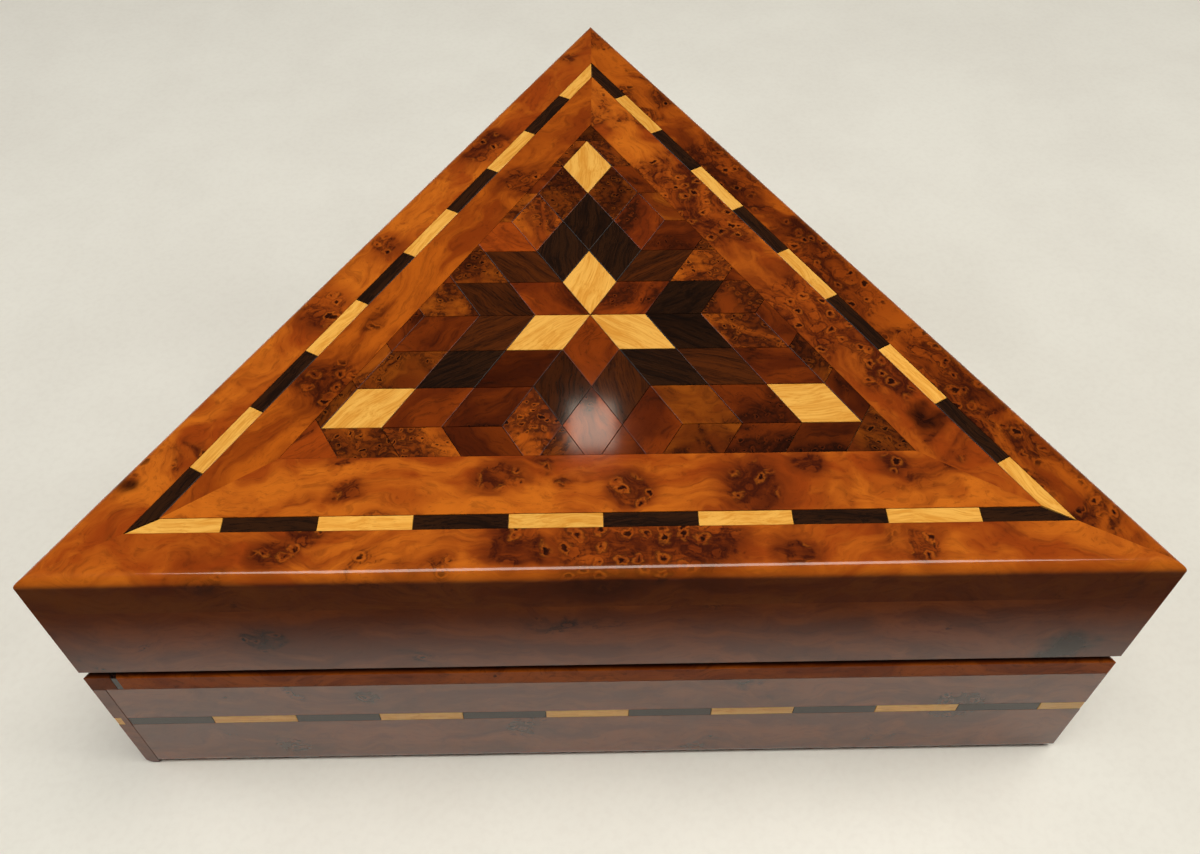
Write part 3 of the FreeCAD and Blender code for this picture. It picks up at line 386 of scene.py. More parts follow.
def slips(name, outlines, low, high, grain, tones, wood, upright=None, seed=1, bevel=0.04,
          gap=SEAM / 2.0):
    """Makes one mesh of many slips.

    Rings of each outline, at (inset, height) = (gap, low), (gap, high - bevel) and
    (gap + bevel, high), are joined by quads and closed by a fan at each end.  upright is None for
    slips in the lid, or (turn, from, to) for slips let into a side.  Their ends are cut back
    towards the inside by depth / root 3, so that the last slip meets the corner in a mitre.
    """
    rng = np.random.default_rng(seed)
    points, faces, boards, shade = [], [], [], []
    count = 0
    for corners in sorted({len(o) for o in outlines}):
        pick = [k for k, o in enumerate(outlines) if len(o) == corners]
        ring = anticlockwise(np.array([outlines[k] for k in pick], dtype=float))
        rings = [(gap, low), (gap, high - bevel), (gap + bevel, high)]
        body = np.stack([np.dstack([inset(ring, by), np.full(ring.shape[:2], z)])
                         for by, z in rings], axis=1)
        ends = np.stack([np.column_stack([ring.mean(axis=1), np.full(len(ring), z)])
                         for z in (low, high)], axis=1)
        block = np.concatenate([body.reshape(len(pick), -1, 3), ends], axis=1)
        each = block.shape[1]
        here = np.arange(corners)
        there = (here + 1) % corners
        sides = np.concatenate([np.column_stack(
            [k * corners + here, k * corners + there, (k + 1) * corners + there,
             (k + 1) * corners + here]) for k in (0, 1)])
        top = np.column_stack([2 * corners + here, 2 * corners + there,
                               np.full(corners, each - 1)])
        bottom = np.column_stack([there, here, np.full(corners, each - 2)])
        offset = count + np.arange(len(pick)) * each
        for part in (sides, top, bottom):
            faces += (part[None] + offset[:, None, None]).reshape(-1, part.shape[1]).tolist()
        angle = np.radians(np.array([grain[k] for k in pick]))[:, None]
        shift = rng.uniform(-400.0, 400.0, (len(pick), 1, 3))
        x, y = block[..., 0], block[..., 1]
        board = np.stack([x * np.cos(angle) + y * np.sin(angle),
                          y * np.cos(angle) - x * np.sin(angle), block[..., 2]], axis=2) + shift
        points.append(block.reshape(-1, 3))
        boards.append(board.reshape(-1, 3))
        shade.append(np.repeat([tones[k] for k in pick], each))
        count += len(pick) * each
    points, boards, shade = np.concatenate(points), np.concatenate(boards), np.concatenate(shade)
    if upright is not None:
        turn, begin, end = upright
        a = math.radians(turn)
        up, out = points[:, 1], points[:, 2]
        x = np.clip(points[:, 0], begin - out / ROOT3, end + out / ROOT3)
        y = -OUTER - out
        points = np.column_stack([x * math.cos(a) - y * math.sin(a),
                                  x * math.sin(a) + y * math.cos(a), up])
    return mesh_piece(name, points / 1000.0, faces, wood, {"board": boards, "tone": shade})


def mesh_piece(name, points, faces, material, values):
    """A mesh object at the origin, with its values kept on its points."""
    mesh = bpy.data.meshes.new(name)
    mesh.from_pydata(points.tolist(), [], faces)
    for key, data in values.items():
        kind, slot = ("FLOAT_VECTOR", "vector") if data.ndim == 2 else ("FLOAT", "value")
        mesh.attributes.new(key, kind, "POINT").data.foreach_set(
            slot, np.ascontiguousarray(data, dtype=np.float32).ravel())
    mesh.materials.append(material)
    mesh.validate()
    mesh.update()
    piece = bpy.data.objects.new(name, mesh)
    bpy.context.scene.collection.objects.link(piece)
    return piece


# %% [markdown]
# ## The star and its rows
# The picture on the lid is a lattice of rhombs.  One third of it is written down in steps of the
# lattice, and turned twice.  A point (i, j) lies i rhombus sides across and j rows back from the
# star, and a third number runs on to the trimmed edge.  Each third is then given its own woods.

# %% Lattice of the marquetry
PIECES = {
    "star_tip": [(0, 0), (0.5, -1), (0, -2), (-0.5, -1)],
    "star_arm": [(0, 0), (0.5, 1), (0, 2), (-0.5, 1)],
    "crown": [(0, 2), (0.5, 3), (0, 4), (-0.5, 3)],
    "crown_left": [(-0.5, 1), (0, 2), (-0.5, 3), (-1, 2)],
    "crown_right": [(0.5, 1), (1, 2), (0.5, 3), (0, 2)],
    "corner": [(0, 4), (0.5, 5), (0, 6), (-0.5, 5)],
    "flank_left": [(-0.5, -1), (0, -2), (-0.5, -3), (-1, -2)],
    "flank_right": [(0.5, -1), (1, -2), (0.5, -3), (0, -2)],
    "foot": [(0, -2), (0.5, -3), (0.5, -3, -1), (-0.5, -3, 1), (-0.5, -3)],
    "foot_left": [(-1, -2), (-0.5, -3), (-0.5, -3, -1), (-1.5, -3, 1), (-1.5, -3)],
    "foot_right": [(1, -2), (1.5, -3), (1.5, -3, -1), (0.5, -3, 1), (0.5, -3)],
    "row_left_far": [(-3, -2), (-2, -2), (-2.5, -3), (-3.5, -3)],
    "row_left_near": [(-2, -2), (-1, -2), (-1.5, -3), (-2.5, -3)],
    "row_right_far": [(3, -2), (2, -2), (2.5, -3), (3.5, -3)],
    "row_right_near": [(2, -2), (1, -2), (1.5, -3), (2.5, -3)],
    "edge_left_far": [(-4.5, -3), (-3.5, -3), (-3.5, -3, 1), (-4.5, -3, 1)],
    "edge_left_mid": [(-3.5, -3), (-2.5, -3), (-2.5, -3, 1), (-3.5, -3, 1)],
    "edge_left_near": [(-2.5, -3), (-1.5, -3), (-1.5, -3, 1), (-2.5, -3, 1)],
    "edge_right_far": [(4.5, -3), (3.5, -3), (3.5, -3, -1), (4.5, -3, -1)],
    "edge_right_mid": [(3.5, -3), (2.5, -3), (2.5, -3, -1), (3.5, -3, -1)],
    "edge_right_near": [(2.5, -3), (1.5, -3), (1.5, -3, -1), (2.5, -3, -1)],
    "fill_left": [(-0.5, -3), (-0.5, -3, 1), (-0.5, -3, -1)],
    "fill_right": [(0.5, -3), (0.5, -3, 1), (0.5, -3, -1)],
}
WOODS = {
    "star_tip": "RRR", "star_arm": "LLL", "crown": "EEW", "crown_left": "ERE",
    "crown_right": "EWE", "corner": "LLL", "flank_left": "WEW", "flank_right": "WWW",
    "foot": "RBB", "foot_left": "BBR", "foot_right": "RRB", "row_left_far": "RRB",
    "row_left_near": "RBB", "row_right_far": "RBB", "row_right_near": "BRR",
    "edge_left_far": "BRB", "edge_left_mid": "BBR", "edge_left_near": "RRB",
    "edge_right_far": "RBB", "edge_right_mid": "RRB", "edge_right_near": "BBR",
    "fill_left": "BRB", "fill_right": "RBR", "point": "RBB",
}
WOOD_NAMES = {"L": "lemonwood", "E": "ebony", "W": "walnut", "R": "red_thuya", "B": "burl"}
DROPS = []
for turn in TURNS.values():
    across = np.array([math.cos(math.radians(turn - 90.0)), math.sin(math.radians(turn - 90.0))])
    DROPS.append((FIELD - float((STAR - FIELD_AT) @ across)) / ROW - 3.0)


def lattice(point, drop):
    """A lattice point in mm from the star; a third number carries it on to the trimmed edge."""
    if len(point) == 2:
        return RHOMB * point[0], ROW * point[1]
    return RHOMB * (drop * 0.5 * point[2] + point[0]), ROW * (point[1] - drop)


def outline_of(piece, steps):
    """The outline of one slip, turned to its third of the picture."""
    near, left = DROPS[steps], DROPS[(steps + 2) % 3]
    if piece == "point":
        found = [lattice((-4.5, -3), near), lattice((-4.5, -3, 1), near),
                 (RHOMB * (near * -0.5 - left - 4.5), ROW * (-3.0 - near)),
                 (RHOMB * (left * -0.5 - 4.5), ROW * (left - 3.0))]
    else:
        found = [lattice(p, near) for p in PIECES[piece]]
    a = math.radians(120.0 * steps)
    turn = np.array([[math.cos(a), math.sin(a)], [-math.sin(a), math.cos(a)]])
    return np.array(found) @ turn + STAR


print("each third of the star holds", len(WOODS), "slips, trimmed at", [round(d, 3) for d in DROPS])

# %% Cut and place the slips
rng = np.random.default_rng(7)
HINTS = {("foot_left", 0): 1.45, ("edge_left_mid", 0): 1.25, ("foot", 0): 1.10,
         ("row_left_near", 0): 0.62, ("row_left_far", 0): 0.80, ("row_right_near", 0): 0.66,
         ("row_right_far", 0): 0.66, ("edge_right_near", 0): 0.60, ("edge_right_mid", 0): 0.60,
         ("edge_right_far", 0): 0.42, ("edge_left_near", 0): 0.55, ("fill_left", 0): 0.6,
         ("fill_right", 0): 0.6, ("crown_left", 1): 0.34, ("point", 2): 0.34,
         ("point", 0): 1.2, ("point", 1): 0.55, ("row_left_near", 2): 1.35,
         ("foot_left", 2): 1.3, ("row_right_near", 1): 1.15, ("row_right_far", 1): 0.62,
         ("foot_right", 1): 0.7, ("star_tip", 0): 0.85, ("star_tip", 1): 1.15,
         ("star_tip", 2): 1.05, ("foot", 1): 1.2, ("foot_left", 1): 0.95,
         ("row_left_near", 1): 1.05, ("edge_right_far", 2): 0.5, ("edge_left_far", 1): 0.5,
         ("edge_left_mid", 1): 0.6, ("foot", 2): 0.8, ("foot_right", 2): 0.85}
cut = {letter: ([], [], []) for letter in WOOD_NAMES}
for piece, letters in WOODS.items():
    for steps, letter in enumerate(letters):
        outline = outline_of(piece, steps)
        longest = outline[int(np.argmax(np.linalg.norm(outline - outline.mean(axis=0), axis=1)))]
        ahead = longest - outline.mean(axis=0)
        angle = math.degrees(math.atan2(ahead[1], ahead[0])) + rng.uniform(-14.0, 14.0)
        if piece == "corner" and steps:
            angle += 30.0
        cut[letter][0].append(outline)
        cut[letter][1].append(angle)
        spread = rng.uniform(0.60, 1.0) if letter != "L" else rng.uniform(0.92, 1.0)
        cut[letter][2].append(HINTS.get((piece, steps), spread))
for letter, (outlines, grain, tones) in cut.items():
    name = "marquetry_" + WOOD_NAMES[letter]
    piece = slips("slips_" + WOOD_NAMES[letter], outlines, HEIGHT - VENEER, HEIGHT, grain, tones,
                  SLIP_WOODS[WOOD_NAMES[letter]], seed=11 + ord(letter))
    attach(piece, "lid")
    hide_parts(name)
    print(piece.name, len(outlines), "slips")

# %% [markdown]
# ## The inlaid lines
# Round the lid runs a line of ten slips a side, light and dark in turn, mitred at the corners.
# Round the base a thinner line is let into the faces.  The same slip maker draws both: flat for the
# lid, and stood upright in the face of a side for the base.

# %% Line of the lid
def turned(outline, turn):
    a = math.radians(turn)
    return np.array(outline) @ np.array([[math.cos(a), math.sin(a)], [-math.sin(a), math.cos(a)]])


def lid_line(first):
    """Every other slip of one side: x runs along the side, and the end slips are mitred."""
    half, near, count = LINE_OUT * ROOT3, LINE_IN * ROOT3, 10
    found = []
    for k in range(first, count, 2):
        x0, x1 = -half + half * 2.0 / count * k, -half + half * 2.0 / count * (k + 1)
        found.append([(x0, -LINE_OUT), (x1, -LINE_OUT),
                      (near - SEAM if k == count - 1 else x1, -LINE_IN - SEAM / 2.0),
                      (-near + SEAM if k == 0 else x0, -LINE_IN - SEAM / 2.0)])
    return found


for side, turn in TURNS.items():
    for first, shade, wood in ((0, "light", "lemonwood"), (1, "dark", "ebony")):
        outlines = [turned(o, turn) for o in lid_line(first)]
        tones = rng.uniform(0.90, 1.05, len(outlines))
        piece = slips("lid_line_%s_%s" % (side, shade), outlines, HEIGHT - VENEER, HEIGHT,
                      [turn] * len(outlines), tones, SLIP_WOODS[wood],
                      seed=41 + first + int(turn))
        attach(piece, "lid")
        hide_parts("lid_%s_inlay_%s" % (side, shade))

# %% Line of the base
def level(distance, plane, sign):
    """How far along a side a point is, where a neighbour's plane meets this distance."""
    return (plane + distance * 0.5) * (2.0 / ROOT3) * sign


front_from, front_to = level(OUTER, CORE, -1.0), OUTER * ROOT3
right_to = level(OUTER, INNER, 1.0)
LINES = {"front": ("base_front_inlay_", "base", front_from, front_to),
         "right": ("base_right_inlay_", "base", -right_to, right_to),
         "left": ("panel_inlay_", "side_panel", -front_to, front_to)}
for side, turn in TURNS.items():
    node, body, begin, end = LINES[side]
    count = math.ceil((end - begin) / PITCH - 0.05)
    for first, shade, wood in ((0, "dark", "ebony"), (1, "light", "lemonwood")):
        outlines = []
        for k in range(first, count, 2):
            x0, x1 = begin + PITCH * k, begin + PITCH * (k + 1) if k < count - 1 else end
            outlines.append([(x0, INLAY_LOW), (x1, INLAY_LOW), (x1, INLAY_LOW + INLAY_HIGH),
                             (x0, INLAY_LOW + INLAY_HIGH)])
        tones = rng.uniform(0.86, 1.02, len(outlines)) * (1.0 if shade == "dark" else 0.93)
        piece = slips("base_line_%s_%s" % (side, shade), outlines, -INLAY_DEEP, 0.0,
                      [0.0] * len(outlines), tones, SLIP_WOODS[wood],
                      upright=(turn, begin, end), seed=71 + first + int(turn))
        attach(piece, body)
        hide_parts(node + shade)
print("inlaid lines done")

# %% [markdown]
# ## Finishes of the boards
# Every board gets its own plank: its own shift in the figure, its own share of burl, and a few
# knots where the eyes crowd.  The lid's frame is worn a little lighter along its upper edge.
# Painted shade darkens the upright walls, the boards further back, the frame's face below its
# edge and the bevel under the lid.

# %% Boards
def wear_and_face_shade(turn):
    """Below the rounded upper edge the face is painted darker as shade; on the edge it is worn
    light.
    """
    def edge(wire, paint, lines):
        local = board_place(wire, turn)
        out = local.part(1) * -1.0 + local.part(2)
        rubbed = out.rise(OUTER + HEIGHT - 2.4, OUTER + HEIGHT - 1.2) * lines.rise(
            0.2, 0.8, 0.10, 0.35)
        paint = rubbed.tint(paint, ORANGE["light"])
        # Painted shade: the upright face below the edge is tinted towards dark brown.
        return local.part(2).rise(HEIGHT - 2.6, HEIGHT - 1.0, 0.80, 0.0).tint(
            paint, colour(70, 29, 9))
    return edge


def shaded(turn):
    """Painted shade: the bevel under the lid's overhang is tinted nearly black."""
    def edge(wire, paint, lines):
        # Painted shade under the lid, from 39.9 mm upwards.
        return board_place(wire, turn).part(2).rise(39.9, 40.7, 0.0, 0.88).tint(
            paint, colour(22, 9, 4))
    return edge


def shifted(spots, shift):
    """Knots given on the box, moved with the board's own shift in the figure."""
    return [(x + shift[0], y + shift[1], z + shift[2], r) for x, y, z, r in spots]


def board(node, side, colours, shift, crowd, knots=(), stains=(), rim=None, **more):
    """Gives one CAD board its own plank of thuya."""
    turn = TURNS[side]
    material = thuya(node + "_wood", lambda wire: board_place(wire, turn, shift), crowd=crowd,
                     knots=shifted(knots, shift), stains=shifted(stains, shift),
                     edge=rim and rim(turn), **colours, **more)
    wear_it(node, material)


def wear_it(node, material):
    """Puts one material in every slot of a CAD node."""
    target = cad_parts[node].data.materials
    for k in range(len(target)):
        target[k] = material
    if not len(target):
        target.append(material)
    dressed.add(node)


dressed = set()
FRAME = -OUTER + 5.0
BAND = -LINE_IN + 7.0
QUIET = dict(contrast=0.35, streak=0.7)
SATIN = dict(LACQUER, Coat_Weight=0.10, Coat_Roughness=0.25)
RAIL = dict(light=colour(156, 76, 18), middle=colour(124, 54, 12), dark=colour(58, 22, 6))
board("lid_frame_front", "front", ORANGE, (210.0, 40.0, 9.0), 0.22, rim=wear_and_face_shade,
      knots=[(0, FRAME, HEIGHT, 10), (17, FRAME + 1, HEIGHT, 7), (-15, FRAME + 1, HEIGHT, 6),
             (33, FRAME - 1, HEIGHT, 3.5), (-57, FRAME, HEIGHT, 3.5), (56, FRAME, HEIGHT, 3.5)])
board("lid_frame_right", "right", BACK_SHADE, (-130.0, 75.0, 61.0), 0.66, rim=wear_and_face_shade,
      knots=[(-10, FRAME, HEIGHT, 18), (30, FRAME, HEIGHT, 14), (-45, FRAME, HEIGHT, 12)])
board("lid_frame_left", "left", ORANGE, (-320.0, -45.0, 33.0), 0.26, rim=wear_and_face_shade,
      knots=[(22, FRAME, HEIGHT, 6), (-40, FRAME, HEIGHT, 7), (0, FRAME, HEIGHT, 4)],
      stains=[(76, FRAME - 3, HEIGHT, 4)])
board("lid_band_front", "front", ORANGE, (35.0, 140.0, 71.0), 0.26,
      knots=[(5, BAND - 3, HEIGHT, 4), (-18, BAND + 1, HEIGHT, 4), (-46, BAND - 1, HEIGHT, 3),
             (27, BAND - 2, HEIGHT, 6), (37, BAND + 4, HEIGHT, 3), (53, BAND + 3, HEIGHT, 3)])
board("lid_band_right", "right", ORANGE, (155.0, -260.0, 17.0), 0.52,
      knots=[(-18, BAND, HEIGHT, 14), (20, BAND, HEIGHT, 14)], stains=[(-52, BAND - 4, HEIGHT, 5)])
board("lid_band_left", "left", BACK_SHADE, (-75.0, -170.0, 43.0), 0.20,
      knots=[(38, BAND, HEIGHT, 8), (-34, BAND, HEIGHT, 6)])
board("lid_front_wall", "front", UPRIGHT_SHADE, (90.0, 310.0, -55.0), 0.10, **QUIET,
      stains=[(88, -OUTER, 47, 8)], knots=[(-62, -OUTER, 54, 5)])
board("lid_right_wall", "right", UPRIGHT_SHADE, (-290.0, 210.0, 15.0), 0.40, contrast=0.6)
board("lid_left_wall", "left", UPRIGHT_SHADE, (330.0, -110.0, 25.0), 0.30, contrast=0.6)
board("base_front_wall", "front", UPRIGHT_SHADE, (-60.0, -330.0, 88.0), 0.10, **QUIET,
      knots=[(73, -OUTER, 22, 7), (-66, -OUTER, 8, 4), (-48, -OUTER, 30, 3)],
      gloss=dict(LACQUER, Coat_Weight=1.0))
board("base_right_wall", "right", UPRIGHT_SHADE, (260.0, 160.0, -25.0), 0.36, contrast=0.6)
board("base_left_wall", "left", UPRIGHT_SHADE, (-180.0, 290.0, 5.0), 0.15, **QUIET)
board("side_panel", "left", UPRIGHT_SHADE, (45.0, -250.0, -12.0), 0.34, contrast=0.6)
board("panel_runner", "left", UPRIGHT_SHADE, (45.0, -150.0, -12.0), 0.05, **QUIET)
board("front_rail", "front", RAIL, (-230.0, 20.0, 31.0), 0.08, streak=1.4, contrast=0.4,
      rim=shaded, gloss=SATIN)
board("base_front_rim", "front", UPRIGHT_SHADE, (-150.0, 80.0, 11.0), 0.08, **QUIET)
board("base_left_moulding", "left", UPRIGHT_SHADE, (70.0, -90.0, 21.0), 0.18, rim=shaded,
      gloss=SATIN)
board("base_right_moulding", "right", UPRIGHT_SHADE, (170.0, 190.0, 51.0), 0.24, rim=shaded,
      gloss=SATIN)
print(len(dressed), "boards dressed")

# %% [markdown]
# ## Hidden woods
# The floor and the board under the veneers are plain softwood, sawn and sealed but not polished.
# The end slip of the sliding rail is ebony.

# %% Plain boards
MATT = {"Coat_Weight": 0.15, "Coat_Roughness": 0.3, "Coat_IOR": 1.45}
for node, shift in (("base_floor", (0.0, 0.0, 0.0)), ("lid_core_board", (120.0, 60.0, 20.0))):
    wear_it(node, straight(node + "_wood", lambda wire, s=shift: board_place(wire, 0.0, s),
                           colour(178, 128, 82), colour(142, 94, 54), colour(96, 60, 34),
                           pores=0.4, gloss=MATT))
wear_it("rail_end_slip", straight("end_slip_ebony", lambda wire: board_place(wire, 90.0),
                                  colour(52, 28, 18), colour(24, 13, 10), colour(13, 8, 7)))

# %% [markdown]
# ## Brass and steel
# Hinges, lock, screws and key are turned or stamped metal that has been handled: fine scratches in
# every direction, and a brown bloom where fingers don't rub it off.

# %% Metal finishes
def metal(name, bright, dull, turn=0.0, rough=0.26, bloom=0.55):
    """Metal with a cloudy bloom of a duller colour and fine scratches along x."""
    material, wire, surface = start(name)
    point = board_place(wire, turn)
    cloud = (point * 0.30).noise(4.0, 0.6, 0.4)
    scratch = (point * (0.4, 9.0, 9.0)).noise(3.0, 0.6)
    cross = (point * (8.0, 8.0, 0.5)).noise(3.0, 0.6)
    paint = (cloud.rise(0.42, 0.68) * bloom).tint(bright, dull)
    worn_rough = rough + cloud.rise(0.4, 0.7) * 0.16 + scratch * 0.10
    finish_with(surface, paint, worn_rough, scratch * 0.6 + cross * 0.4, 0.000012, 0.25,
                Metallic=1.0)
    return material


for side, nodes in {
        "right": ["hinge_front_leaf_base", "hinge_back_leaf_base", "hinge_front_leaf_lid",
                  "hinge_back_leaf_lid"],
        "left": ["lock_case", "lock_bolt", "strike", "escutcheon"],
        "front": ["key"]}.items():
    brass = metal("brass_" + side, colour(214, 172, 96), colour(132, 88, 42), TURNS[side])
    for node in nodes:
        wear_it(node, brass)
steel = metal("steel_parts", colour(186, 184, 180), colour(96, 88, 80), rough=0.22, bloom=0.35)
for node in ("hinge_pins", "hinge_screws_base", "hinge_screws_lid", "lock_spring", "lock_screws",
             "strike_screws"):
    wear_it(node, steel)
print(len(dressed), "fixed parts dressed so far")

# %% [markdown]
# ## Felt linings
# Floor and lid are lined with dark red felt, cut to a triangle and glued down.  Felt isn't flat:
# it is thicker where the glue took less, and its cut edge is pinched thin.  The surface is a grid
# over the triangle whose height is the felt's thickness, less a soft roll at the edge.

# %% Felt
def felt_finish(name):
    """Matted fibres: soft clouds of red and short fibres in every direction."""
    material, wire, surface = start(name)
    point = board_place(wire, 0.0)
    cloud = (point * 0.10).noise(3.0, 0.6)
    fibre = (point * 2.2).noise(4.0, 0.7, 2.5)
    hair = (point * (7.0, 3.0, 5.0)).noise(3.0, 0.6, 3.0)
    paint = (cloud.rise(0.35, 0.65) * 0.5 + fibre.rise(0.4, 0.65) * 0.5).tint(
        colour(116, 22, 26), colour(78, 10, 16))
    paint = (hair.rise(0.56, 0.7) * 0.4).tint(paint, colour(150, 52, 50))
    finish_with(surface, paint, 0.95, fibre + hair * 0.5, 0.0002, 0.6, Sheen_Weight=0.5,
                Sheen_Roughness=0.4)
    return material


def felt_piece(name, low, high, up, material):
    """A triangle of felt.

    Row by row a grid (s, t) is laid over the triangle, s along the front edge and t to the apex,
    so x = root 3 (1 - t)(2 s - 1) and y = 3 t - 1 in units of the side's distance.  The felt is
    0.35 of its full thickness at the edge and 0.9 inside, joined by a quarter circle 1.2 mm wide,
    with a slight ripple on the free face.
    """
    n = 90
    distance = FELT_OUT
    s, t = np.meshgrid(np.linspace(0.0, 1.0, n), np.linspace(0.0, 1.0, n))
    x = distance * ROOT3 * (1.0 - t) * (2.0 * s - 1.0)
    y = distance * (3.0 * t - 1.0)
    sides = np.stack([distance + y, distance - x * ROOT3 / 2.0 - y / 2.0,
                      distance + x * ROOT3 / 2.0 - y / 2.0])
    rim = np.clip(sides.min(axis=0) / 1.2, 0.0, 1.0)
    ripple = (np.sin(x * 0.31 + 1.3 * np.sin(y * 0.17)) * np.sin(y * 0.27 + np.sin(x * 0.12)) +
              np.sin(x * 0.83 + y * 0.61)) * 0.035
    thick = (high - low) * (0.35 + 0.55 * np.sqrt(1.0 - (1.0 - rim) ** 2)) + ripple * rim
    thick = np.clip(thick, 0.05, high - low)
    glued, free = (low, low + thick) if up else (high, high - thick)
    face = np.dstack([x, y, free]).reshape(-1, 3)
    back = np.dstack([x, y, np.full_like(x, glued)]).reshape(-1, 3)
    here = (np.arange(n - 1)[:, None] * n + np.arange(n - 1)).ravel()
    quads = np.column_stack([here, here + 1, here + n + 1, here + n])
    under = quads[:, ::-1] + n * n
    loop = np.concatenate([np.arange(n), np.arange(1, n) * n + n - 1,
                           (n - 1) * n + np.arange(n - 2, -1, -1), np.arange(n - 2, 0, -1) * n])
    nxt = np.roll(loop, -1)
    wall = np.column_stack([loop + n * n, nxt + n * n, nxt, loop])
    faces = np.concatenate([quads, under, wall])
    if not up:
        faces = faces[:, ::-1]
    points = np.concatenate([face, back]) / 1000.0
    mesh = bpy.data.meshes.new(name)
    mesh.from_pydata(points.tolist(), [], faces.tolist())
    mesh.materials.append(material)
    work = bmesh.new()
    work.from_mesh(mesh)
    bmesh.ops.remove_doubles(work, verts=work.verts, dist=1e-7)
    bmesh.ops.recalc_face_normals(work, faces=work.faces)
    work.to_mesh(mesh)
    work.free()
    mesh.polygons.foreach_set("use_smooth", [True] * len(mesh.polygons))
    piece = bpy.data.objects.new(name, mesh)
    bpy.context.scene.collection.objects.link(piece)
    return piece


felt = felt_finish("red_felt")
for node, body, held, rests, up in (
        ("base_lining", "base", "laid", "base_floor", True),
        ("lid_lining", "lid", "stretched", "lid_core_board", False)):
    lo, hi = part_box(node)
    piece = felt_piece(node + "_felt", lo[2] * 1000.0, hi[2] * 1000.0, up, felt)
    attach(piece, body)
    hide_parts(node)
    dressed.add(node)
    print(piece.name, "laid, underside at %.1f mm" % (lo[2] * 1000.0))

# %% [markdown]
# ## Camera
# The box is seen close up, from in front and above, through a fairly wide lens.  The view is set
# as a place, a heading, a tilt and a slight roll, and the angles turn into the camera's axes.

# %% Camera
def look(place, tilt, heading, roll, lens):
    """Camera axes: ahead from heading and tilt, then right and up turned by the roll."""
    p, h, r = math.radians(tilt), math.radians(heading), math.radians(roll)
    ahead = Vector((math.sin(h) * math.cos(p), math.cos(h) * math.cos(p), -math.sin(p)))
    right = Vector((math.cos(h), -math.sin(h), 0.0))
    up = right.cross(ahead)
    right, up = right * math.cos(r) + up * math.sin(r), up * math.cos(r) - right * math.sin(r)
    data = bpy.data.cameras.new("camera")
    data.sensor_width, data.sensor_fit, data.lens = 36.0, "HORIZONTAL", lens
    data.clip_start = 0.01
    camera = bpy.data.objects.new("camera", data)
    axes = Matrix((right, up, -ahead)).transposed().to_4x4()
    camera.matrix_world = Matrix.Translation(Vector(place)) @ axes
    bpy.context.scene.collection.objects.link(camera)
    bpy.context.scene.camera = camera
    return camera


camera = look((-0.00339, -0.15687, 0.23453), 50.516, 1.395, 0.348, 33.04)
print("camera at", [round(v, 4) for v in camera.location], "lens", camera.data.lens)

# %% [markdown]
# ## Counter and light
# The box stands on a pale counter under a warm ceiling light.  Most of the light comes from large
# soft sources above, and a small lamp behind leaves a soft gleam in the lacquer.  Beyond about
# 80 mm in front of the box the lacquer shows a painted dark reflection: a dark card, hidden from
# the camera and from the light but not from reflections, lies on the counter there.

# %% Counter
def flat(name, x0, x1, y0, y1, z, material):
    """A level rectangle, facing up, as a two by two grid of points."""
    points = np.array([(x0, y0, z), (x1, y0, z), (x1, y1, z), (x0, y1, z)])
    mesh = bpy.data.meshes.new(name)
    mesh.from_pydata(points.tolist(), [], [(0, 1, 2, 3)])
    mesh.materials.append(material)
    piece = bpy.data.objects.new(name, mesh)
    bpy.context.scene.collection.objects.link(piece)
    return piece


def counter_finish():
    material, wire, surface = start("pale_counter")
    point = board_place(wire, 0.0)
    cloud = (point * 0.02).noise(4.0, 0.6)
    grit = (point * 0.6).noise(2.0, 0.5)
    paint = (cloud.rise(0.3, 0.7) * 0.7 + grit.rise(0.4, 0.7) * 0.3).tint(
        colour(238, 240, 234), colour(230, 231, 225))
    finish_with(surface, paint, 0.32 + cloud * 0.1, grit, 0.00001, 0.1, Coat_Weight=0.15,
                Coat_Roughness=0.25)
    return material


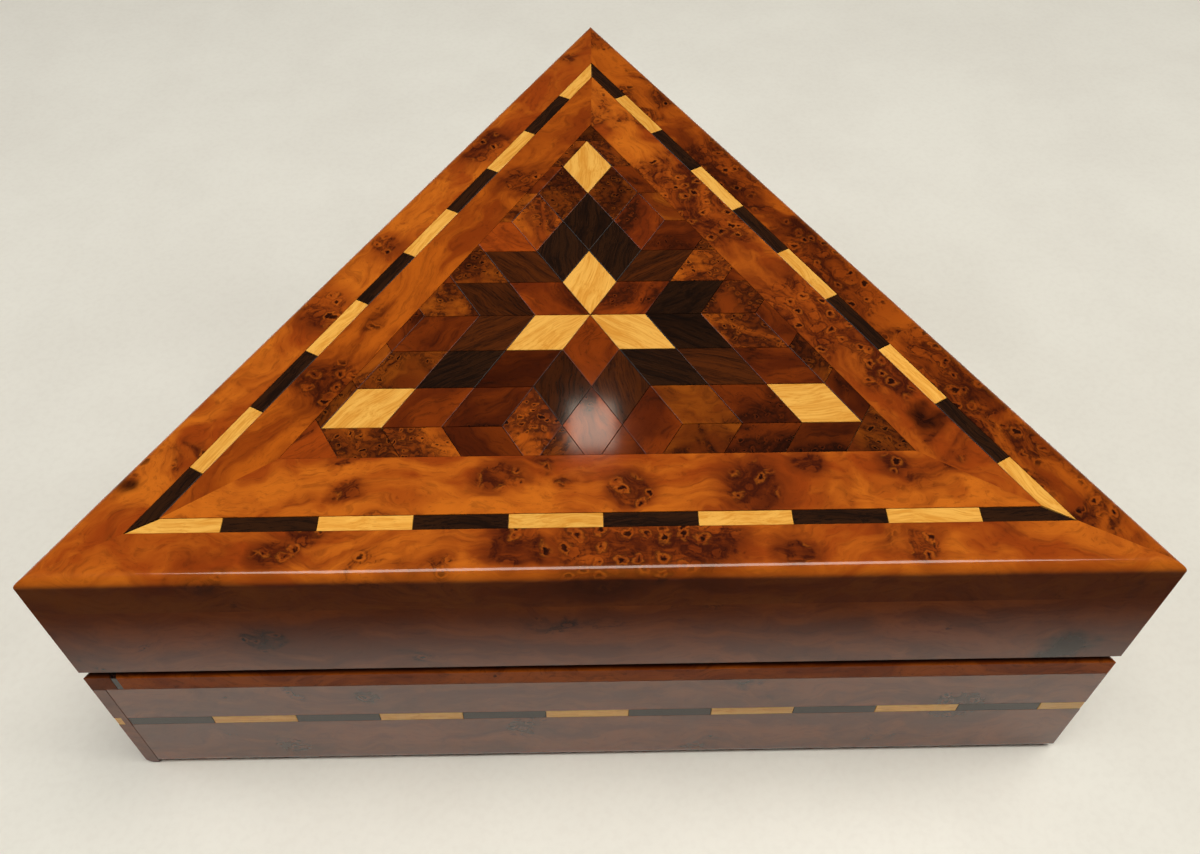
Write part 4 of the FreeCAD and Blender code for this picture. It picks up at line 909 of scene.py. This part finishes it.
def painted_dark_reflection():
    """Painted dark reflection: clear near the box, and dark brown further off; the mix follows the
    distance in front.
    """
    material, wire, surface = start("painted_dark_reflection")
    tree = wire.tree
    surface.inputs["Base Color"].default_value = colour(40, 26, 18)
    surface.inputs["Roughness"].default_value = 1.0
    surface.inputs["Specular IOR Level"].default_value = 0.0
    far = (wire.part(1) * -1000.0).rise(77.0, 95.0)
    clear = wire.node("ShaderNodeBsdfTransparent", {}, {})
    both = wire.node("ShaderNodeMixShader", {}, {0: far, 1: clear,
                                                 2: Wire(tree, surface.outputs[0])})
    tree.links.new(both.socket, tree.nodes["Material Output"].inputs["Surface"])
    return material


counter = flat("counter", -6.0, 6.0, -6.0, 6.0, -0.0002, counter_finish())
# This card is seen only in reflections, where it paints a darker reflection in front of the box.
card = flat("dark_reflection_card", -0.6, 0.6, -0.9, -0.07, 0.0004, painted_dark_reflection())
card.visible_camera = card.visible_diffuse = card.visible_shadow = False
card.visible_transmission = False

# %% Lights
def lamp(name, place, target, width, height, power, tone):
    """A rectangular soft light at a place, facing a target."""
    data = bpy.data.lights.new(name, "AREA")
    data.shape, data.size, data.size_y, data.energy, data.color = (
        "RECTANGLE", width, height, power, tone)
    light = bpy.data.objects.new(name, data)
    light.location = place
    ahead = Vector(target) - Vector(place)
    light.rotation_euler = ahead.to_track_quat("-Z", "Y").to_euler()
    bpy.context.scene.collection.objects.link(light)
    return light


lamp("ceiling", (0.05, -0.16, 1.25), (0.0, -0.05, 0.0), 1.1, 0.5, 14.5, (1.0, 0.93, 0.84))
lamp("lamp_behind", (0.006, 0.548, 0.769), (0.0, -0.025, 0.075), 0.045, 0.045, 0.05,
     (1.0, 0.86, 0.70))
lamp("window", (-1.4, 0.15, 0.8), (0.0, 0.0, 0.05), 0.8, 0.8, 5.0, (0.97, 0.97, 1.0))
lamp("doorway", (1.3, 0.10, 0.9), (0.0, 0.0, 0.05), 0.8, 0.8, 5.0, (1.0, 0.96, 0.90))
world = bpy.data.worlds.new("room")
world.use_nodes = True
world.node_tree.nodes["Background"].inputs["Color"].default_value = (0.52, 0.44, 0.36, 1.0)
world.node_tree.nodes["Background"].inputs["Strength"].default_value = 0.06
bpy.context.scene.world = world
bpy.context.scene.view_settings.view_transform = "Standard"

# %% Parts left without a finish
missing = sorted(set(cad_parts) - dressed)
print("fixed parts hidden by slips:", len(missing))
